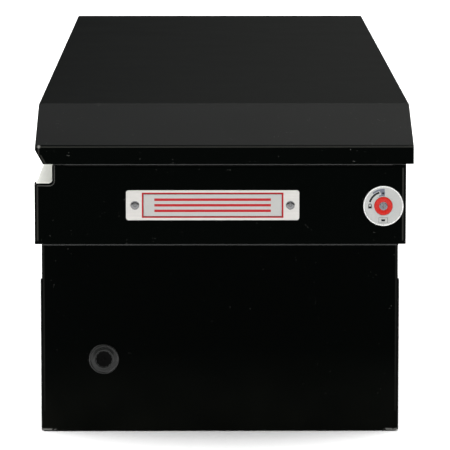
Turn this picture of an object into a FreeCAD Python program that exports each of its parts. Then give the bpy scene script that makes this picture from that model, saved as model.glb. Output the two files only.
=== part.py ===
import FreeCAD, Part
import math
import os
from FreeCAD import Vector

# Crossover tool box for a pickup truck, in millimetres.
# X runs along the box, across the truck. The left end is at -X and the right end at +X.
# Y runs across the lid: the hinge is on the +Y side, the side that opens is at -Y.
# Z is up. The origin is at the middle of the space that the box stands on.

# Overall sizes
box_length = 1816.1
overall_depth = 514.35
sheet = 2.0
fold_radius = 1.5

# Tub and the saddle part above it
shelf_width = 165.05
front_overhang = 9.95
end_set_in = 3.0
shelf_height = 290.5
saddle_height = 108.0
foot_width = 20.0
floor_flange = 20.0
tub_flange_length = 25.0
tub_flange_height = 214.0
tub_flange_corner = 8.0
saddle_flange_length = 20.0
rim_width = 16.0
rim_lip = 10.0

# Step along the hinge side, where the lid's back edge swings down
step_depth = 24.4
step_height = 25.0
step_corner = 5.0

# Seal and rubber pads
seal_thickness = 1.4
seal_width = 12.0
seal_set_in = 1.0
seat_gap = 0.3
pad_thickness = 2.0
pad_width = 40.0
pad_end_gap = 10.0
pad_edge_gap = 3.0

# Slots for the clamps that hold the shelves on the truck's bed rails
slot_length = 60.0
slot_width = 13.0
slot_spacing = 260.0

# Lid
lid_sheet = 1.5
lid_height = 69.7
lid_skirt = 25.1
slope_run = 127.0
lid_set_in = 1.275
bevel_rise = 19.3
bevel_run = 10.8
lid_fold = 4.0
lid_edge = 2.0
lid_return_height = 20.0
lid_lip_height = 20.0
stiffener_count = 3
stiffener_pitch = 520.0
stiffener_width = 110.0
stiffener_crown = 60.0
stiffener_flange = 15.0
stiffener_depth = 20.0
stiffener_sheet = 1.2
lid_open_angle = 76.0

# Continuous hinge
leaf = 1.2
leaf_hide = 0.1
ledge_leaf_edge = 0.6
knuckle_radius = 4.0
knuckle_count = 25
knuckle_gap = 0.4
knuckle_lift = 0.2
pin_radius = 2.0
running_gap = 0.05
lid_leaf_height = 12.0

# Lock
lock_set_in = 29.025
lock_rise = 52.2
dial_radius = 27.3
dial_thickness = 1.6
dial_edge = 0.6
barrel_radius = 15.0
barrel_length = 20.5
barrel_back = 3.0
button_radius = 12.5
button_length = 15.0
button_proud = 1.35
key_radius = 5.6
key_gap = 0.08
nut_flats = 33.0
nut_thickness = 6.0
tail_arm = 8.0
tail_width = 5.0
tail_thickness = 1.5
finger_length = 2.4
panel_gap = 0.2

# Latch hooks, their brackets and the rod between them
hook_pivot_inset = 33.05
hook_pivot_rise = 21.5
hook_thickness = 5.0
hook_angle = 9.0
hook_pin_radius = 4.0
link_arm = 15.0
link_radius = 2.5
link_slack = 0.35
nose_drop = 13.2
nose_reach = 11.0
nose_height = 11.0
hook_arm_width = 11.0
throat_offset = 2.0
tab_reach = 7.0
ear_thickness = 3.0
ear_gap = 0.5
ear_height = 16.0
spring_room = 5.7
spring_radius = 6.0
bracket_base_height = 22.0
rod_radius = 3.0
rod_clearance = 0.8
fitting_radius = 5.0
guide_pitch = 400.0
guide_thickness = 3.0
guide_height = 20.0
guide_gap = 0.3

# Strikers under the lid
striker_wire = 2.5
striker_post = 3.0
striker_spread = 16.0
striker_play = 0.5
striker_gap = 1.5
striker_plate = 3.0
striker_plate_width = 25.0

# Gas springs
stay_radius = 90.0
stay_base_reach = 265.475
stay_base_rise = 19.5
stay_inset = 29.05
stay_tube_radius = 9.0
stay_tube_wall = 1.0
stay_tube_start = 14.0
stay_shut_room = 18.316
stay_cap = 8.0
stay_rod_radius = 4.0
stay_neck_radius = 3.5
piston_length = 8.0
piston_gap = 0.1
eye_radius = 8.0
eye_half = 4.5
stay_pin_radius = 4.0
eye_gap = 0.4
stay_plate = 3.0
stay_plate_width = 44.0
stay_boss_radius = 9.0
stay_cap_radius = 7.0

# Plate with two rivets, on each end
badge_length = 235.0
badge_height = 40.8
badge_thickness = 1.0
badge_corner = 3.5
badge_off_middle = 10.425
badge_rise = 53.4
rivet_inset = 12.1
rivet_radius = 6.0
rivet_height = 1.8
rivet_edge = 1.4
rivet_shank = 2.4

# Round plug in each end of the tub
plug_set_in = 86.775
plug_z = 103.8
plug_radius = 21.5
plug_thickness = 3.0
plug_edge = 1.2
plug_recess_radius = 10.4
plug_recess_depth = 2.0
plug_stem_radius = 16.5
plug_stem_length = 8.0

# Sliding tray and its rails
tray_length = 460.0
tray_height = 70.0
tray_sheet = 1.5
tray_front_gap = 28.225
tray_back_gap = 25.175
tray_end_gap = 8.0
tray_drop = 28.2
tray_hem = 8.0
divider_count = 2
divider_height = 60.0
rail_leg = 32.0
rail_drop = 25.0

# Places worked out from the sizes above
back_y = overall_depth / 2
wall_back = back_y - sheet
lid_front = -overall_depth / 2
front_y = lid_front + front_overhang
wall_front = front_y + sheet
lid_back = back_y - lid_set_in
end_x = box_length / 2 - end_set_in
inside_x = end_x - sheet
tub_x = end_x - shelf_width
shelf_top = shelf_height + sheet
rim_top = shelf_height + saddle_height
lid_bottom = rim_top + seal_thickness + seat_gap
lid_top = lid_bottom + lid_height
step_y = back_y - step_depth
step_z = rim_top - step_height
riser_y = step_y - leaf - leaf_hide
ledge_z = step_z - leaf - seat_gap
rim_front = wall_front + rim_width
rim_back = riser_y - rim_width
rim_x = end_x - rim_width
hinge_y = riser_y + knuckle_radius
hinge_z = lid_bottom + knuckle_radius + knuckle_lift
hinge_end = inside_x - seat_gap
lid_inner_x = box_length / 2 - lid_sheet
lock_y = wall_front + lock_set_in
lock_z = shelf_height + lock_rise
hook_x = end_x - hook_pivot_inset
hook_pivot_z = shelf_top + hook_pivot_rise
nose_z = lid_bottom - nose_drop
hook_back_y = lock_y + hook_thickness / 2
hook_front_y = lock_y - hook_thickness / 2
rod_y = hook_front_y - ear_gap - ear_thickness - rod_clearance - rod_radius
striker_x = hook_x + throat_offset + striker_gap + striker_wire
striker_z = nose_z - striker_play - striker_wire
stay_x = end_x - stay_inset
stay_base_y = hinge_y - stay_base_reach
stay_base_z = shelf_top + stay_base_rise
stay_shut_length = math.hypot(stay_base_reach - stay_radius, hinge_z - stay_base_z)
stay_tube_length = stay_shut_length - stay_tube_start - stay_shut_room
badge_y = (wall_front + wall_back) / 2 + badge_off_middle
badge_z = shelf_height + badge_rise
plug_y = wall_back - plug_set_in
tray_right_x = tub_x - sheet - tray_end_gap
tray_left_x = tray_right_x - tray_length
tray_front_y = wall_front + sheet + tray_front_gap
tray_back_y = wall_back - sheet - tray_back_gap
tray_floor_z = shelf_height - tray_drop


def in_yz(a, b):
    return Vector(0, a, b)


def in_xz(a, b):
    return Vector(a, 0, b)


def in_xy(a, b):
    return Vector(a, b, 0)


def block(x0, x1, y0, y1, z0, z1):
    """Rectangular block between two values on each axis."""
    return Part.makeBox(x1 - x0, y1 - y0, z1 - z0, Vector(x0, y0, z0))


def rod_along(axis, start, radius, length):
    return Part.makeCylinder(radius, length, start, axis)


def fused(pieces):
    return pieces[0].multiFuse(pieces[1:]).removeSplitter()


def prism(corners, plane, thickness_vector, base):
    """Solid of a closed outline of corners in a plane, moved to base and drawn along a vector."""
    wire = Part.makePolygon([plane(a, b) for a, b in corners + corners[:1]])
    face = Part.Face(wire)
    face.translate(base)
    return face.extrude(thickness_vector)


def path_edges(points, radii):
    """Edges along an open path whose inner corners are rounded."""
    edges = []
    start = points[0]
    for before, corner, after, radius in zip(points, points[1:], points[2:], radii):
        back = (before - corner).normalize()
        ahead = (after - corner).normalize()
        half = back.getAngle(ahead) / 2
        first = corner + back * (radius / math.tan(half))
        last = corner + ahead * (radius / math.tan(half))
        inward = (back + ahead).normalize()
        middle = corner + inward * (radius / math.sin(half) - radius)
        edges.append(Part.LineSegment(start, first).toShape())
        edges.append(Part.Arc(first, middle, last).toShape())
        start = last
    edges.append(Part.LineSegment(start, points[-1]).toShape())
    return edges


def offset_path(corners, distance):
    """The same open path moved sideways, to its left when the distance is positive."""
    normals = []
    for (a0, b0), (a1, b1) in zip(corners, corners[1:]):
        length = math.hypot(a1 - a0, b1 - b0)
        normals.append(((b0 - b1) / length, (a1 - a0) / length))
    moved = []
    for index, (a, b) in enumerate(corners):
        n0 = normals[max(index - 1, 0)]
        n1 = normals[min(index, len(normals) - 1)]
        share = distance / (1 + n0[0] * n1[0] + n0[1] * n1[1])
        moved.append((a + share * (n0[0] + n1[0]), b + share * (n0[1] + n1[1])))
    return moved


def bent_sheet(corners, thickness, plane, start, along):
    """Sheet folded along a path: start moves its section and along draws it out.
    The path follows one face of the sheet, and a positive thickness lies to its left."""
    near_radii = []
    far_radii = []
    for (a0, b0), (a1, b1), (a2, b2) in zip(corners, corners[1:], corners[2:]):
        turn = (a1 - a0) * (b2 - b1) - (b1 - b0) * (a2 - a1)
        outside = turn * thickness > 0
        near_radii.append(fold_radius + abs(thickness) if outside else fold_radius)
        far_radii.append(fold_radius if outside else fold_radius + abs(thickness))
    near = [plane(a, b) for a, b in corners]
    far = [plane(a, b) for a, b in offset_path(corners, thickness)]
    edges = path_edges(near, near_radii)
    edges.append(Part.LineSegment(near[-1], far[-1]).toShape())
    edges += path_edges(far, far_radii)
    edges.append(Part.LineSegment(near[0], far[0]).toShape())
    face = Part.Face(Part.Wire(Part.__sortEdges__(edges)))
    face.translate(start)
    return face.extrude(along)


def along_x(half_length):
    """Start and draw vectors of a section that runs from -half_length to half_length along X."""
    return Vector(-half_length, 0, 0), Vector(2 * half_length, 0, 0)


def mirrored(shape):
    """The same piece at the right end, as in a mirror between the two ends."""
    return shape.mirror(Vector(0, 0, 0), Vector(1, 0, 0))


def moved_across(shape):
    """The same piece of a gas spring, moved to the right end."""
    moved = shape.copy()
    moved.translate(Vector(2 * stay_x, 0, 0))
    return moved


def turned_lock_piece(shape):
    """The same piece at the right end, turned half round so that it keeps its hand."""
    turned = shape.copy()
    turned.rotate(Vector(0, lock_y, 0), Vector(0, 0, 1), 180)
    return turned


def edges_at(shape, test):
    """The edges of a shape whose middle and direction pass a test."""
    chosen = []
    for edge in shape.Edges:
        ends = [vertex.Point for vertex in edge.Vertexes]
        if len(ends) == 2 and test(edge.CenterOfMass, (ends[1] - ends[0]).normalize()):
            chosen.append(edge)
    return chosen


# Tub
def front_wall():
    start, along = along_x(tub_x - sheet - fold_radius)
    corners = [(wall_front + foot_width, 0), (wall_front, 0), (wall_front, shelf_height)]
    return bent_sheet(corners, -sheet, in_yz, start, along)


def rear_wall():
    start, along = along_x(tub_x - sheet - fold_radius)
    corners = [(wall_back - foot_width, 0), (wall_back, 0), (wall_back, shelf_height)]
    return bent_sheet(corners, sheet, in_yz, start, along)


def tray_shaped(bottom, flange):
    """Corners of a pan between the long walls, with its two sides turned up."""
    low = wall_front + sheet
    high = wall_back - sheet
    return [(low, bottom + flange), (low, bottom), (high, bottom), (high, bottom + flange)]


def floor_pan():
    start, along = along_x(tub_x - sheet)
    return bent_sheet(tray_shaped(sheet, floor_flange), sheet, in_yz, start, along)


def wrapped_end(face_x, flange_length, bottom, top):
    """End panel whose two side flanges wrap round the long walls."""
    corners = [
        (flange_length - face_x, back_y),
        (-face_x, back_y),
        (-face_x, front_y),
        (flange_length - face_x, front_y),
    ]
    return bent_sheet(corners, sheet, in_xy, Vector(0, 0, bottom), Vector(0, 0, top - bottom))


def tub_end():
    panel = wrapped_end(tub_x, tub_flange_length, sheet, shelf_top)
    flange_top = sheet + tub_flange_height
    edge_x = tub_flange_length - tub_x
    corner = block(-tub_x - sheet, edge_x + sheet, front_y - sheet, wall_front, flange_top, shelf_top + sheet)
    other = block(-tub_x - sheet, edge_x + sheet, wall_back, back_y + sheet, flange_top, shelf_top + sheet)
    rounding = block(edge_x - tub_flange_corner, edge_x, front_y - sheet, back_y + sheet,
                     flange_top - tub_flange_corner, flange_top)
    round_start = Vector(edge_x - tub_flange_corner, front_y - sheet, flange_top - tub_flange_corner)
    round_length = back_y - front_y + 2 * sheet
    rounding = rounding.cut(rod_along(Vector(0, 1, 0), round_start, tub_flange_corner, round_length))
    collars = block(-tub_x - sheet, edge_x + sheet, front_y - sheet, back_y + sheet, shelf_height, shelf_top + sheet)
    between = block(-tub_x - sheet, edge_x + sheet, wall_front + sheet, wall_back - sheet,
                    shelf_height, shelf_top + sheet)
    hole = rod_along(Vector(1, 0, 0), Vector(-tub_x - sheet, plug_y, plug_z), plug_stem_radius + panel_gap, 3 * sheet)
    return panel.cut(corner).cut(other).cut(rounding).cut(collars.cut(between)).cut(hole)


# Saddle part
def front_collar():
    start, along = along_x(inside_x - fold_radius)
    corners = [
        (wall_front, shelf_height),
        (wall_front, rim_top),
        (rim_front, rim_top),
        (rim_front, rim_top - rim_lip),
    ]
    return bent_sheet(corners, -sheet, in_yz, start, along)


def rear_collar():
    start, along = along_x(inside_x - fold_radius)
    corners = [
        (wall_back, shelf_height),
        (wall_back, ledge_z),
        (riser_y, ledge_z),
        (riser_y, rim_top),
        (rim_back, rim_top),
        (rim_back, rim_top - rim_lip),
    ]
    return bent_sheet(corners, sheet, in_yz, start, along)


def step_cutter():
    """Room for the lid's back edge, with a round inner corner, cut from an end panel."""
    cutter = block(-end_x - sheet, saddle_flange_length - end_x + sheet, step_y, back_y + sheet,
                   step_z, rim_top + sheet)
    inner = edges_at(cutter, lambda middle, way: abs(way.x) > 0.9 and middle.y < step_y + 1
                     and middle.z < step_z + 1)
    return cutter.makeFillet(step_corner, inner)


def badge_rivet_places():
    reach = badge_length / 2 - rivet_inset
    return [badge_y - reach, badge_y + reach]


def saddle_end():
    panel = wrapped_end(end_x, saddle_flange_length, shelf_height, rim_top)
    panel = panel.cut(step_cutter())
    rim = [(-end_x, rim_top - 2 * rim_lip), (-end_x, rim_top), (-rim_x, rim_top), (-rim_x, rim_top - rim_lip)]
    front_inner = rim_front + seat_gap
    length = rim_back - seat_gap - front_inner
    rim_strip = bent_sheet(rim, -sheet, in_xz, Vector(0, front_inner, 0), Vector(0, length, 0))
    below = block(-end_x - sheet, sheet - end_x, front_inner, front_inner + length, rim_top - 2 * rim_lip,
                  rim_top + sheet)
    panel = fused([panel.cut(below), rim_strip])
    outward = Vector(1, 0, 0)
    start_x = -end_x - sheet
    panel = panel.cut(rod_along(outward, Vector(start_x, lock_y, lock_z), barrel_radius + panel_gap, 3 * sheet))
    for y in badge_rivet_places():
        panel = panel.cut(rod_along(outward, Vector(start_x, y, badge_z), rivet_shank + running_gap, 3 * sheet))
    return panel


def clamp_slot(x, y):
    """Cutter for one slot, whose length runs along Y."""
    half = (slot_length - slot_width) / 2
    up = Vector(0, 0, 1)
    base = shelf_height - sheet
    depth = 3 * sheet
    middle = block(x - slot_width / 2, x + slot_width / 2, y - half, y + half, base, base + depth)
    ends = [rod_along(up, Vector(x, y + side * half, base), slot_width / 2, depth) for side in (-1, 1)]
    return fused([middle] + ends)


def saddle_shelf():
    shelf = bent_sheet(tray_shaped(shelf_height, floor_flange), sheet, in_yz, Vector(-inside_x, 0, 0),
                       Vector(inside_x - tub_x, 0, 0))
    slot_x = -(inside_x + tub_x) / 2
    middle_y = (wall_front + wall_back) / 2
    for side in (-1, 1):
        shelf = shelf.cut(clamp_slot(slot_x, middle_y + side * slot_spacing / 2))
    return shelf


def rail_pads():
    """Two rubber strips under a shelf, one by the end face and one by the tub."""
    low = front_y + pad_end_gap
    high = back_y - pad_end_gap
    strips = []
    for x in (pad_edge_gap - end_x, -tub_x - pad_edge_gap - pad_width):
        strips.append(block(x, x + pad_width, low, high, shelf_height - pad_thickness, shelf_height))
    return Part.makeCompound(strips)


def ring(x_outer, y_low, y_high, width, z_low, z_high):
    """Flat rectangular ring."""
    outer = block(-x_outer, x_outer, y_low, y_high, z_low, z_high)
    inner = block(width - x_outer, x_outer - width, y_low + width, y_high - width, z_low, z_high)
    return outer.cut(inner)


def rim_seal():
    return ring(end_x - seal_set_in, wall_front + seal_set_in, riser_y - seal_set_in, seal_width,
                rim_top, rim_top + seal_thickness)


# Continuous hinge
def knuckle_spans(parity):
    """Start and length of every second knuckle, from one end of the hinge to the other."""
    pitch = 2 * hinge_end / knuckle_count
    spans = []
    for index in range(parity, knuckle_count, 2):
        spans.append((index * pitch - hinge_end + knuckle_gap / 2, pitch - knuckle_gap))
    return spans


def knuckle(start, length, strip):
    """Rolled eye of a leaf: strip is its flat part, from low to high in Y and Z."""
    low_y, high_y, low_z, high_z = strip
    eye = rod_along(Vector(1, 0, 0), Vector(start, hinge_y, hinge_z), knuckle_radius, length)
    return eye.fuse(block(start, start + length, low_y, high_y, low_z, high_z))


def hinge_leaf(plate, strip, parity):
    pieces = [plate] + [knuckle(start, length, strip) for start, length in knuckle_spans(parity)]
    bore = rod_along(Vector(1, 0, 0), Vector(-box_length, hinge_y, hinge_z), pin_radius + running_gap, 2 * box_length)
    return fused(pieces).cut(bore)


def hinge_body_leaf():
    start, along = along_x(hinge_end)
    top = hinge_z - knuckle_radius - knuckle_gap
    corners = [(wall_back - ledge_leaf_edge, ledge_z), (riser_y, ledge_z), (riser_y, top)]
    plate = bent_sheet(corners, -leaf, in_yz, start, along)
    return hinge_leaf(plate, (riser_y, riser_y + leaf, top - leaf, hinge_z), 0)


def hinge_lid_leaf():
    outer = hinge_y + knuckle_radius
    low = hinge_z + knuckle_radius + knuckle_gap
    plate = block(-hinge_end, hinge_end, outer - leaf, outer, low, low + lid_leaf_height)
    return hinge_leaf(plate, (outer - leaf, outer, hinge_z, low + leaf), 1)


def hinge_pin():
    return rod_along(Vector(1, 0, 0), Vector(-hinge_end, hinge_y, hinge_z), pin_radius, 2 * hinge_end)


# Lid
def lid_block(inset):
    """Lid as a full block with every face but the open one moved inwards: flat top, sloped ends,
    and a bevel along the hinge side's lower edge."""
    half = box_length / 2
    side = [
        (-half, lid_bottom),
        (-half, lid_bottom + lid_skirt),
        (slope_run - half, lid_top),
        (half - slope_run, lid_top),
        (half, lid_bottom + lid_skirt),
        (half, lid_bottom),
    ]
    low_y = lid_front + inset
    body = prism(offset_path(side, -inset), in_xz, Vector(0, lid_back - inset - low_y, 0), Vector(0, low_y, 0))
    folds = edges_at(body, lambda middle, way: abs(way.y) > 0.9 and middle.z > lid_bottom + 1)
    body = body.makeFillet(lid_fold - inset, folds)
    back = [
        (lid_back, lid_top),
        (lid_back, lid_bottom + bevel_rise),
        (lid_back - 2 * bevel_run, lid_bottom - bevel_rise),
    ]
    wedge = offset_path(back, -inset) + [(lid_back + bevel_run, lid_bottom - bevel_rise), (lid_back + bevel_run, lid_top)]
    return body.cut(prism(wedge, in_yz, Vector(2 * box_length, 0, 0), Vector(-box_length, 0, 0)))


def lid_skin():
    """Folded lid sheet, with a turned-up return behind the hinge's lid leaf."""
    body = lid_block(0)
    long_edges = edges_at(body, lambda middle, way: abs(way.y) < 0.5 and middle.z > lid_bottom + bevel_rise + 1
                          and (middle.y < lid_front + 1 or middle.y > lid_back - 1))
    shell = body.makeFillet(lid_edge, long_edges).cut(lid_block(lid_sheet))
    inner = hinge_y + knuckle_radius + seat_gap
    corners = [
        (lid_back - bevel_run - lid_sheet / 3, lid_bottom),
        (inner, lid_bottom),
        (inner, lid_bottom + lid_return_height),
    ]
    start, along = along_x(lid_inner_x - seat_gap / 3)
    return fused([shell, bent_sheet(corners, -lid_sheet, in_yz, start, along)])


def lid_frame():
    """Ring that presses the seal, with an upright lip round the mouth."""
    outer = block(-lid_inner_x, lid_inner_x, lid_front + lid_sheet, riser_y - 1.5 * seat_gap,
                  lid_bottom, lid_bottom + lid_sheet)
    mouth = block(-rim_x, rim_x, rim_front, rim_back, lid_bottom - sheet, lid_top)
    around = block(-rim_x - lid_sheet, rim_x + lid_sheet, rim_front - lid_sheet, rim_back + lid_sheet,
                   lid_bottom, lid_bottom + lid_lip_height)
    return fused([outer, around]).cut(mouth)


def lid_stiffeners():
    """Hat channels across the lid, under its flat top."""
    top = lid_top - lid_sheet
    start_y = lid_front + lid_sheet
    length = hinge_y - start_y
    hats = []
    for index in range(stiffener_count):
        x = (index - (stiffener_count - 1) / 2) * stiffener_pitch
        half = stiffener_width / 2
        crown = stiffener_crown / 2
        corners = [
            (x - half, top),
            (x - half + stiffener_flange, top),
            (x - crown, top - stiffener_depth),
            (x + crown, top - stiffener_depth),
            (x + half - stiffener_flange, top),
            (x + half, top),
        ]
        hats.append(bent_sheet(corners, -stiffener_sheet, in_xz, Vector(0, start_y, 0), Vector(0, length, 0)))
    return Part.makeCompound(hats)


# Lock
def lock_cylinder(radius, front_x, length):
    """Cylinder on the lock's axis, from its front end inwards."""
    return rod_along(Vector(1, 0, 0), Vector(front_x, lock_y, lock_z), radius, length)


def lock_body():
    barrel = lock_cylinder(barrel_radius, -end_x, barrel_length)
    bore = lock_cylinder(button_radius + running_gap, -end_x, barrel_length - barrel_back)
    back_hole = lock_cylinder(key_radius + 2 * key_gap, -end_x, barrel_length)
    return barrel.cut(bore).cut(back_hole)


def lock_dial():
    disc = lock_cylinder(dial_radius, -end_x - dial_thickness, dial_thickness)
    rim = edges_at_circle(disc, -end_x - dial_thickness, dial_radius)
    disc = disc.makeChamfer(dial_edge, rim)
    return disc.cut(lock_cylinder(button_radius + panel_gap, -end_x - dial_thickness, dial_thickness))


def edges_at_circle(shape, x, radius):
    """Round edges of a shape that lie in one plane across X and have one radius."""
    chosen = []
    for edge in shape.Edges:
        if hasattr(edge.Curve, "Radius") and abs(edge.Curve.Radius - radius) < 0.01:
            if abs(edge.CenterOfMass.x - x) < 0.01:
                chosen.append(edge)
    return chosen


def lock_nut():
    corner_radius = nut_flats / math.sqrt(3)
    corners = []
    for index in range(6):
        angle = math.radians(60 * index)
        corners.append((lock_y + corner_radius * math.cos(angle), lock_z + corner_radius * math.sin(angle)))
    nut = prism(corners, in_yz, Vector(nut_thickness, 0, 0), Vector(-inside_x, 0, 0))
    return nut.cut(lock_cylinder(barrel_radius + running_gap, -inside_x, nut_thickness))


def push_button():
    front = -end_x - dial_thickness - button_proud
    button = lock_cylinder(button_radius, front, button_length)
    return button.cut(lock_cylinder(key_radius + key_gap, front, button_length))


def key_cylinder():
    """Key plug with a tail whose finger is clear of the hook until the key is turned."""
    front = -end_x - dial_thickness - button_proud
    tail_front = -end_x + barrel_length + seat_gap
    plug = lock_cylinder(key_radius, front, tail_front - front)
    arm = block(tail_front, tail_front + tail_thickness, lock_y, lock_y + tail_arm,
                lock_z - tail_width / 2, lock_z + tail_width / 2)
    finger_start = Vector(tail_front, lock_y + tail_arm, lock_z)
    finger = rod_along(Vector(1, 0, 0), finger_start, tail_width / 2, tail_thickness + finger_length)
    return fused([plug, arm, finger])


# Latch hooks and the rod that ties them together
def latch_hook():
    """Lever with a nose over the striker, a tab for the lock's finger and a hole at each side of its pivot."""
    finger_z = lock_z + tail_arm
    lever = [
        (throat_offset * -1, nose_z),
        (-nose_reach, nose_z),
        (-nose_reach, nose_z + striker_wire),
        (throat_offset, nose_z + nose_height),
        (hook_arm_width - throat_offset, nose_z + nose_height),
        (hook_arm_width - throat_offset, hook_pivot_z + link_arm),
        (hook_pin_radius + throat_offset, hook_pivot_z - link_arm),
        (-hook_pin_radius - throat_offset, hook_pivot_z - link_arm),
        (-hook_pin_radius - throat_offset, hook_pivot_z + link_arm + hook_pin_radius),
        (-throat_offset / 2, hook_pivot_z + link_arm + 2 * hook_pin_radius),
        (-throat_offset / 2, finger_z - tail_width / 2 - throat_offset),
        (-tab_reach, finger_z - tail_width / 2),
        (-tab_reach, finger_z + tail_width / 2),
        (-throat_offset, finger_z + tail_width / 2 + throat_offset),
    ]
    base = Vector(-hook_x, hook_front_y, 0)
    across = Vector(0, hook_thickness, 0)
    lever_solid = prism(lever, in_xz, across, base)
    foot = Part.makeCylinder(hook_pin_radius + throat_offset, hook_thickness,
                             Vector(-hook_x, hook_front_y, hook_pivot_z - link_arm), Vector(0, 1, 0))
    boss = Part.makeCylinder(2 * hook_pin_radius, hook_thickness,
                             Vector(-hook_x, hook_front_y, hook_pivot_z), Vector(0, 1, 0))
    lever_solid = fused([lever_solid, foot, boss])
    holes = [(hook_pivot_z, hook_pin_radius + running_gap)]
    holes += [(hook_pivot_z + side * link_arm, link_radius + link_slack) for side in (-1, 1)]
    for z, radius in holes:
        start = Vector(-hook_x, hook_front_y - sheet, z)
        lever_solid = lever_solid.cut(Part.makeCylinder(radius, hook_thickness + 2 * sheet, start, Vector(0, 1, 0)))
    return lever_solid


def ear_spans():
    """Y ranges of the two ears beside the hook, the second one past the spring."""
    front = hook_front_y - ear_gap - ear_thickness
    back = hook_back_y + spring_room
    return [(front, front + ear_thickness), (back, back + ear_thickness)]


def latch_bracket():
    """Bracket on the end panel, whose two ears carry the hook's pivot pin."""
    spans = ear_spans()
    low_y = spans[0][0] - bracket_base_height / 2
    high_y = spans[1][1] + bracket_base_height / 2
    base_low = hook_pivot_z - bracket_base_height + ear_height / 2
    base = block(-inside_x, striker_plate - inside_x, low_y, high_y, base_low, base_low + bracket_base_height)
    pieces = [base]
    for low, high in spans:
        pieces.append(block(-inside_x, -hook_x, low, high, hook_pivot_z - ear_height / 2,
                            hook_pivot_z + ear_height / 2))
        pieces.append(Part.makeCylinder(ear_height / 2, high - low, Vector(-hook_x, low, hook_pivot_z),
                                        Vector(0, 1, 0)))
    bore = Part.makeCylinder(hook_pin_radius + running_gap, high_y - low_y, Vector(-hook_x, low_y, hook_pivot_z),
                             Vector(0, 1, 0))
    return fused(pieces).cut(bore)


def hook_pin():
    spans = ear_spans()
    low = spans[0][0] - seat_gap
    shank = Part.makeCylinder(hook_pin_radius, spans[1][1] - low, Vector(-hook_x, low, hook_pivot_z),
                              Vector(0, 1, 0))
    head = Part.makeCylinder(hook_pin_radius * 1.5, sheet, Vector(-hook_x, spans[1][1], hook_pivot_z),
                             Vector(0, 1, 0))
    return fused([shank, head])


def hook_spring():
    """Coil round the pivot pin, as a plain sleeve."""
    start = Vector(-hook_x, hook_back_y + seat_gap, hook_pivot_z)
    length = spring_room - 2 * seat_gap
    sleeve = Part.makeCylinder(spring_radius, length, start, Vector(0, 1, 0))
    return sleeve.cut(Part.makeCylinder(hook_pin_radius + seat_gap, length, start, Vector(0, 1, 0)))


def rod_fitting(end):
    """Fitting on one end of the release rod: a collar in front of the hook and a pin through its hole."""
    across = Vector(0, 1, 0)
    start = end - across * (fitting_radius - seat_gap)
    collar = Part.makeCylinder(fitting_radius, hook_front_y - seat_gap - start.y, start, across)
    pin = Part.makeCylinder(link_radius, hook_back_y + sheet / 2 - end.y, end, across)
    return fused([collar, pin])


def release_rod():
    """Rod from the left hook's upper hole to the right hook's lower hole, with a fitting at each end."""
    left = Vector(-hook_x, rod_y, hook_pivot_z + link_arm)
    right = Vector(hook_x, rod_y, hook_pivot_z - link_arm)
    line = right - left
    fittings = [rod_fitting(left), rod_fitting(right)]
    rod = Part.makeCylinder(rod_radius, line.Length, left, line)
    for fitting in fittings:
        rod = rod.cut(fitting)
    return Part.makeCompound([rod] + fittings)


def rod_guides():
    """Eyes on the front wall that carry the rod."""
    guides = []
    inner = wall_front + sheet
    outer = rod_y + 2 * rod_radius
    for x in (-guide_pitch, 0, guide_pitch):
        z = hook_pivot_z - link_arm * x / hook_x
        plate = block(x - guide_thickness / 2, x + guide_thickness / 2, inner, outer,
                      z - guide_height / 2, z + guide_height / 2)
        start = Vector(x - guide_thickness, rod_y, z)
        guides.append(plate.cut(rod_along(Vector(1, 0, 0), start, rod_radius + guide_gap, 2 * guide_thickness)))
    return Part.makeCompound(guides)


def striker():
    """Wire loop that the hook's nose holds, on a plate fixed to the lid frame's lip."""
    half_plate = striker_plate_width / 2
    floor = lid_bottom + lid_sheet
    upright = block(-rim_x, striker_plate - rim_x, lock_y - half_plate, lock_y + half_plate,
                    floor, lid_bottom + lid_lip_height)
    shelf = block(-rim_x, 2 * striker_plate + striker_wire - striker_x, lock_y - half_plate, lock_y + half_plate,
                  floor, floor + striker_plate)
    pieces = [upright, shelf]
    for side in (-1, 1):
        y = lock_y + side * striker_spread / 2
        foot = Vector(-striker_x, y, striker_z)
        pieces.append(Part.makeCylinder(striker_post, floor - striker_z + sheet, foot, Vector(0, 0, 1)))
    half_bar = striker_spread / 2 + striker_post
    start = Vector(-striker_x, lock_y - half_bar, striker_z)
    pieces.append(Part.makeCylinder(striker_wire, 2 * half_bar, start, Vector(0, 1, 0)))
    return fused(pieces)


# Gas springs
def stay_axis():
    """Place of the fixed eye, direction to the lid's stud and distance, with the lid shut."""
    base = Vector(-stay_x, stay_base_y, stay_base_z)
    stud = Vector(-stay_x, hinge_y - stay_radius, hinge_z)
    line = stud - base
    return base, line.normalize(), (stud - base).Length


def eye(centre, hole_radius):
    start = centre - Vector(eye_half, 0, 0)
    ring_shape = Part.makeCylinder(eye_radius, 2 * eye_half, start, Vector(1, 0, 0))
    return ring_shape.cut(Part.makeCylinder(hole_radius, 2 * eye_half, start, Vector(1, 0, 0)))


def stay_tube():
    base, way, length = stay_axis()
    start = base + way * stay_tube_start
    tube = Part.makeCylinder(stay_tube_radius, stay_tube_length, start, way)
    neck = Part.makeCylinder(stay_neck_radius, stay_tube_start, base + way * stay_pin_radius, way)
    solid = fused([tube, neck, eye(base, stay_pin_radius + running_gap)])
    room_length = stay_tube_length - 2 * stay_cap
    room = Part.makeCylinder(stay_tube_radius - stay_tube_wall, room_length, start + way * stay_cap, way)
    bore = Part.makeCylinder(stay_rod_radius + running_gap, stay_tube_length - stay_cap, start + way * stay_cap, way)
    pin = Part.makeCylinder(stay_pin_radius + running_gap, 4 * eye_half,
                            base - Vector(2 * eye_half, 0, 0), Vector(1, 0, 0))
    return solid.cut(fused([room, bore])).cut(pin)


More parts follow.
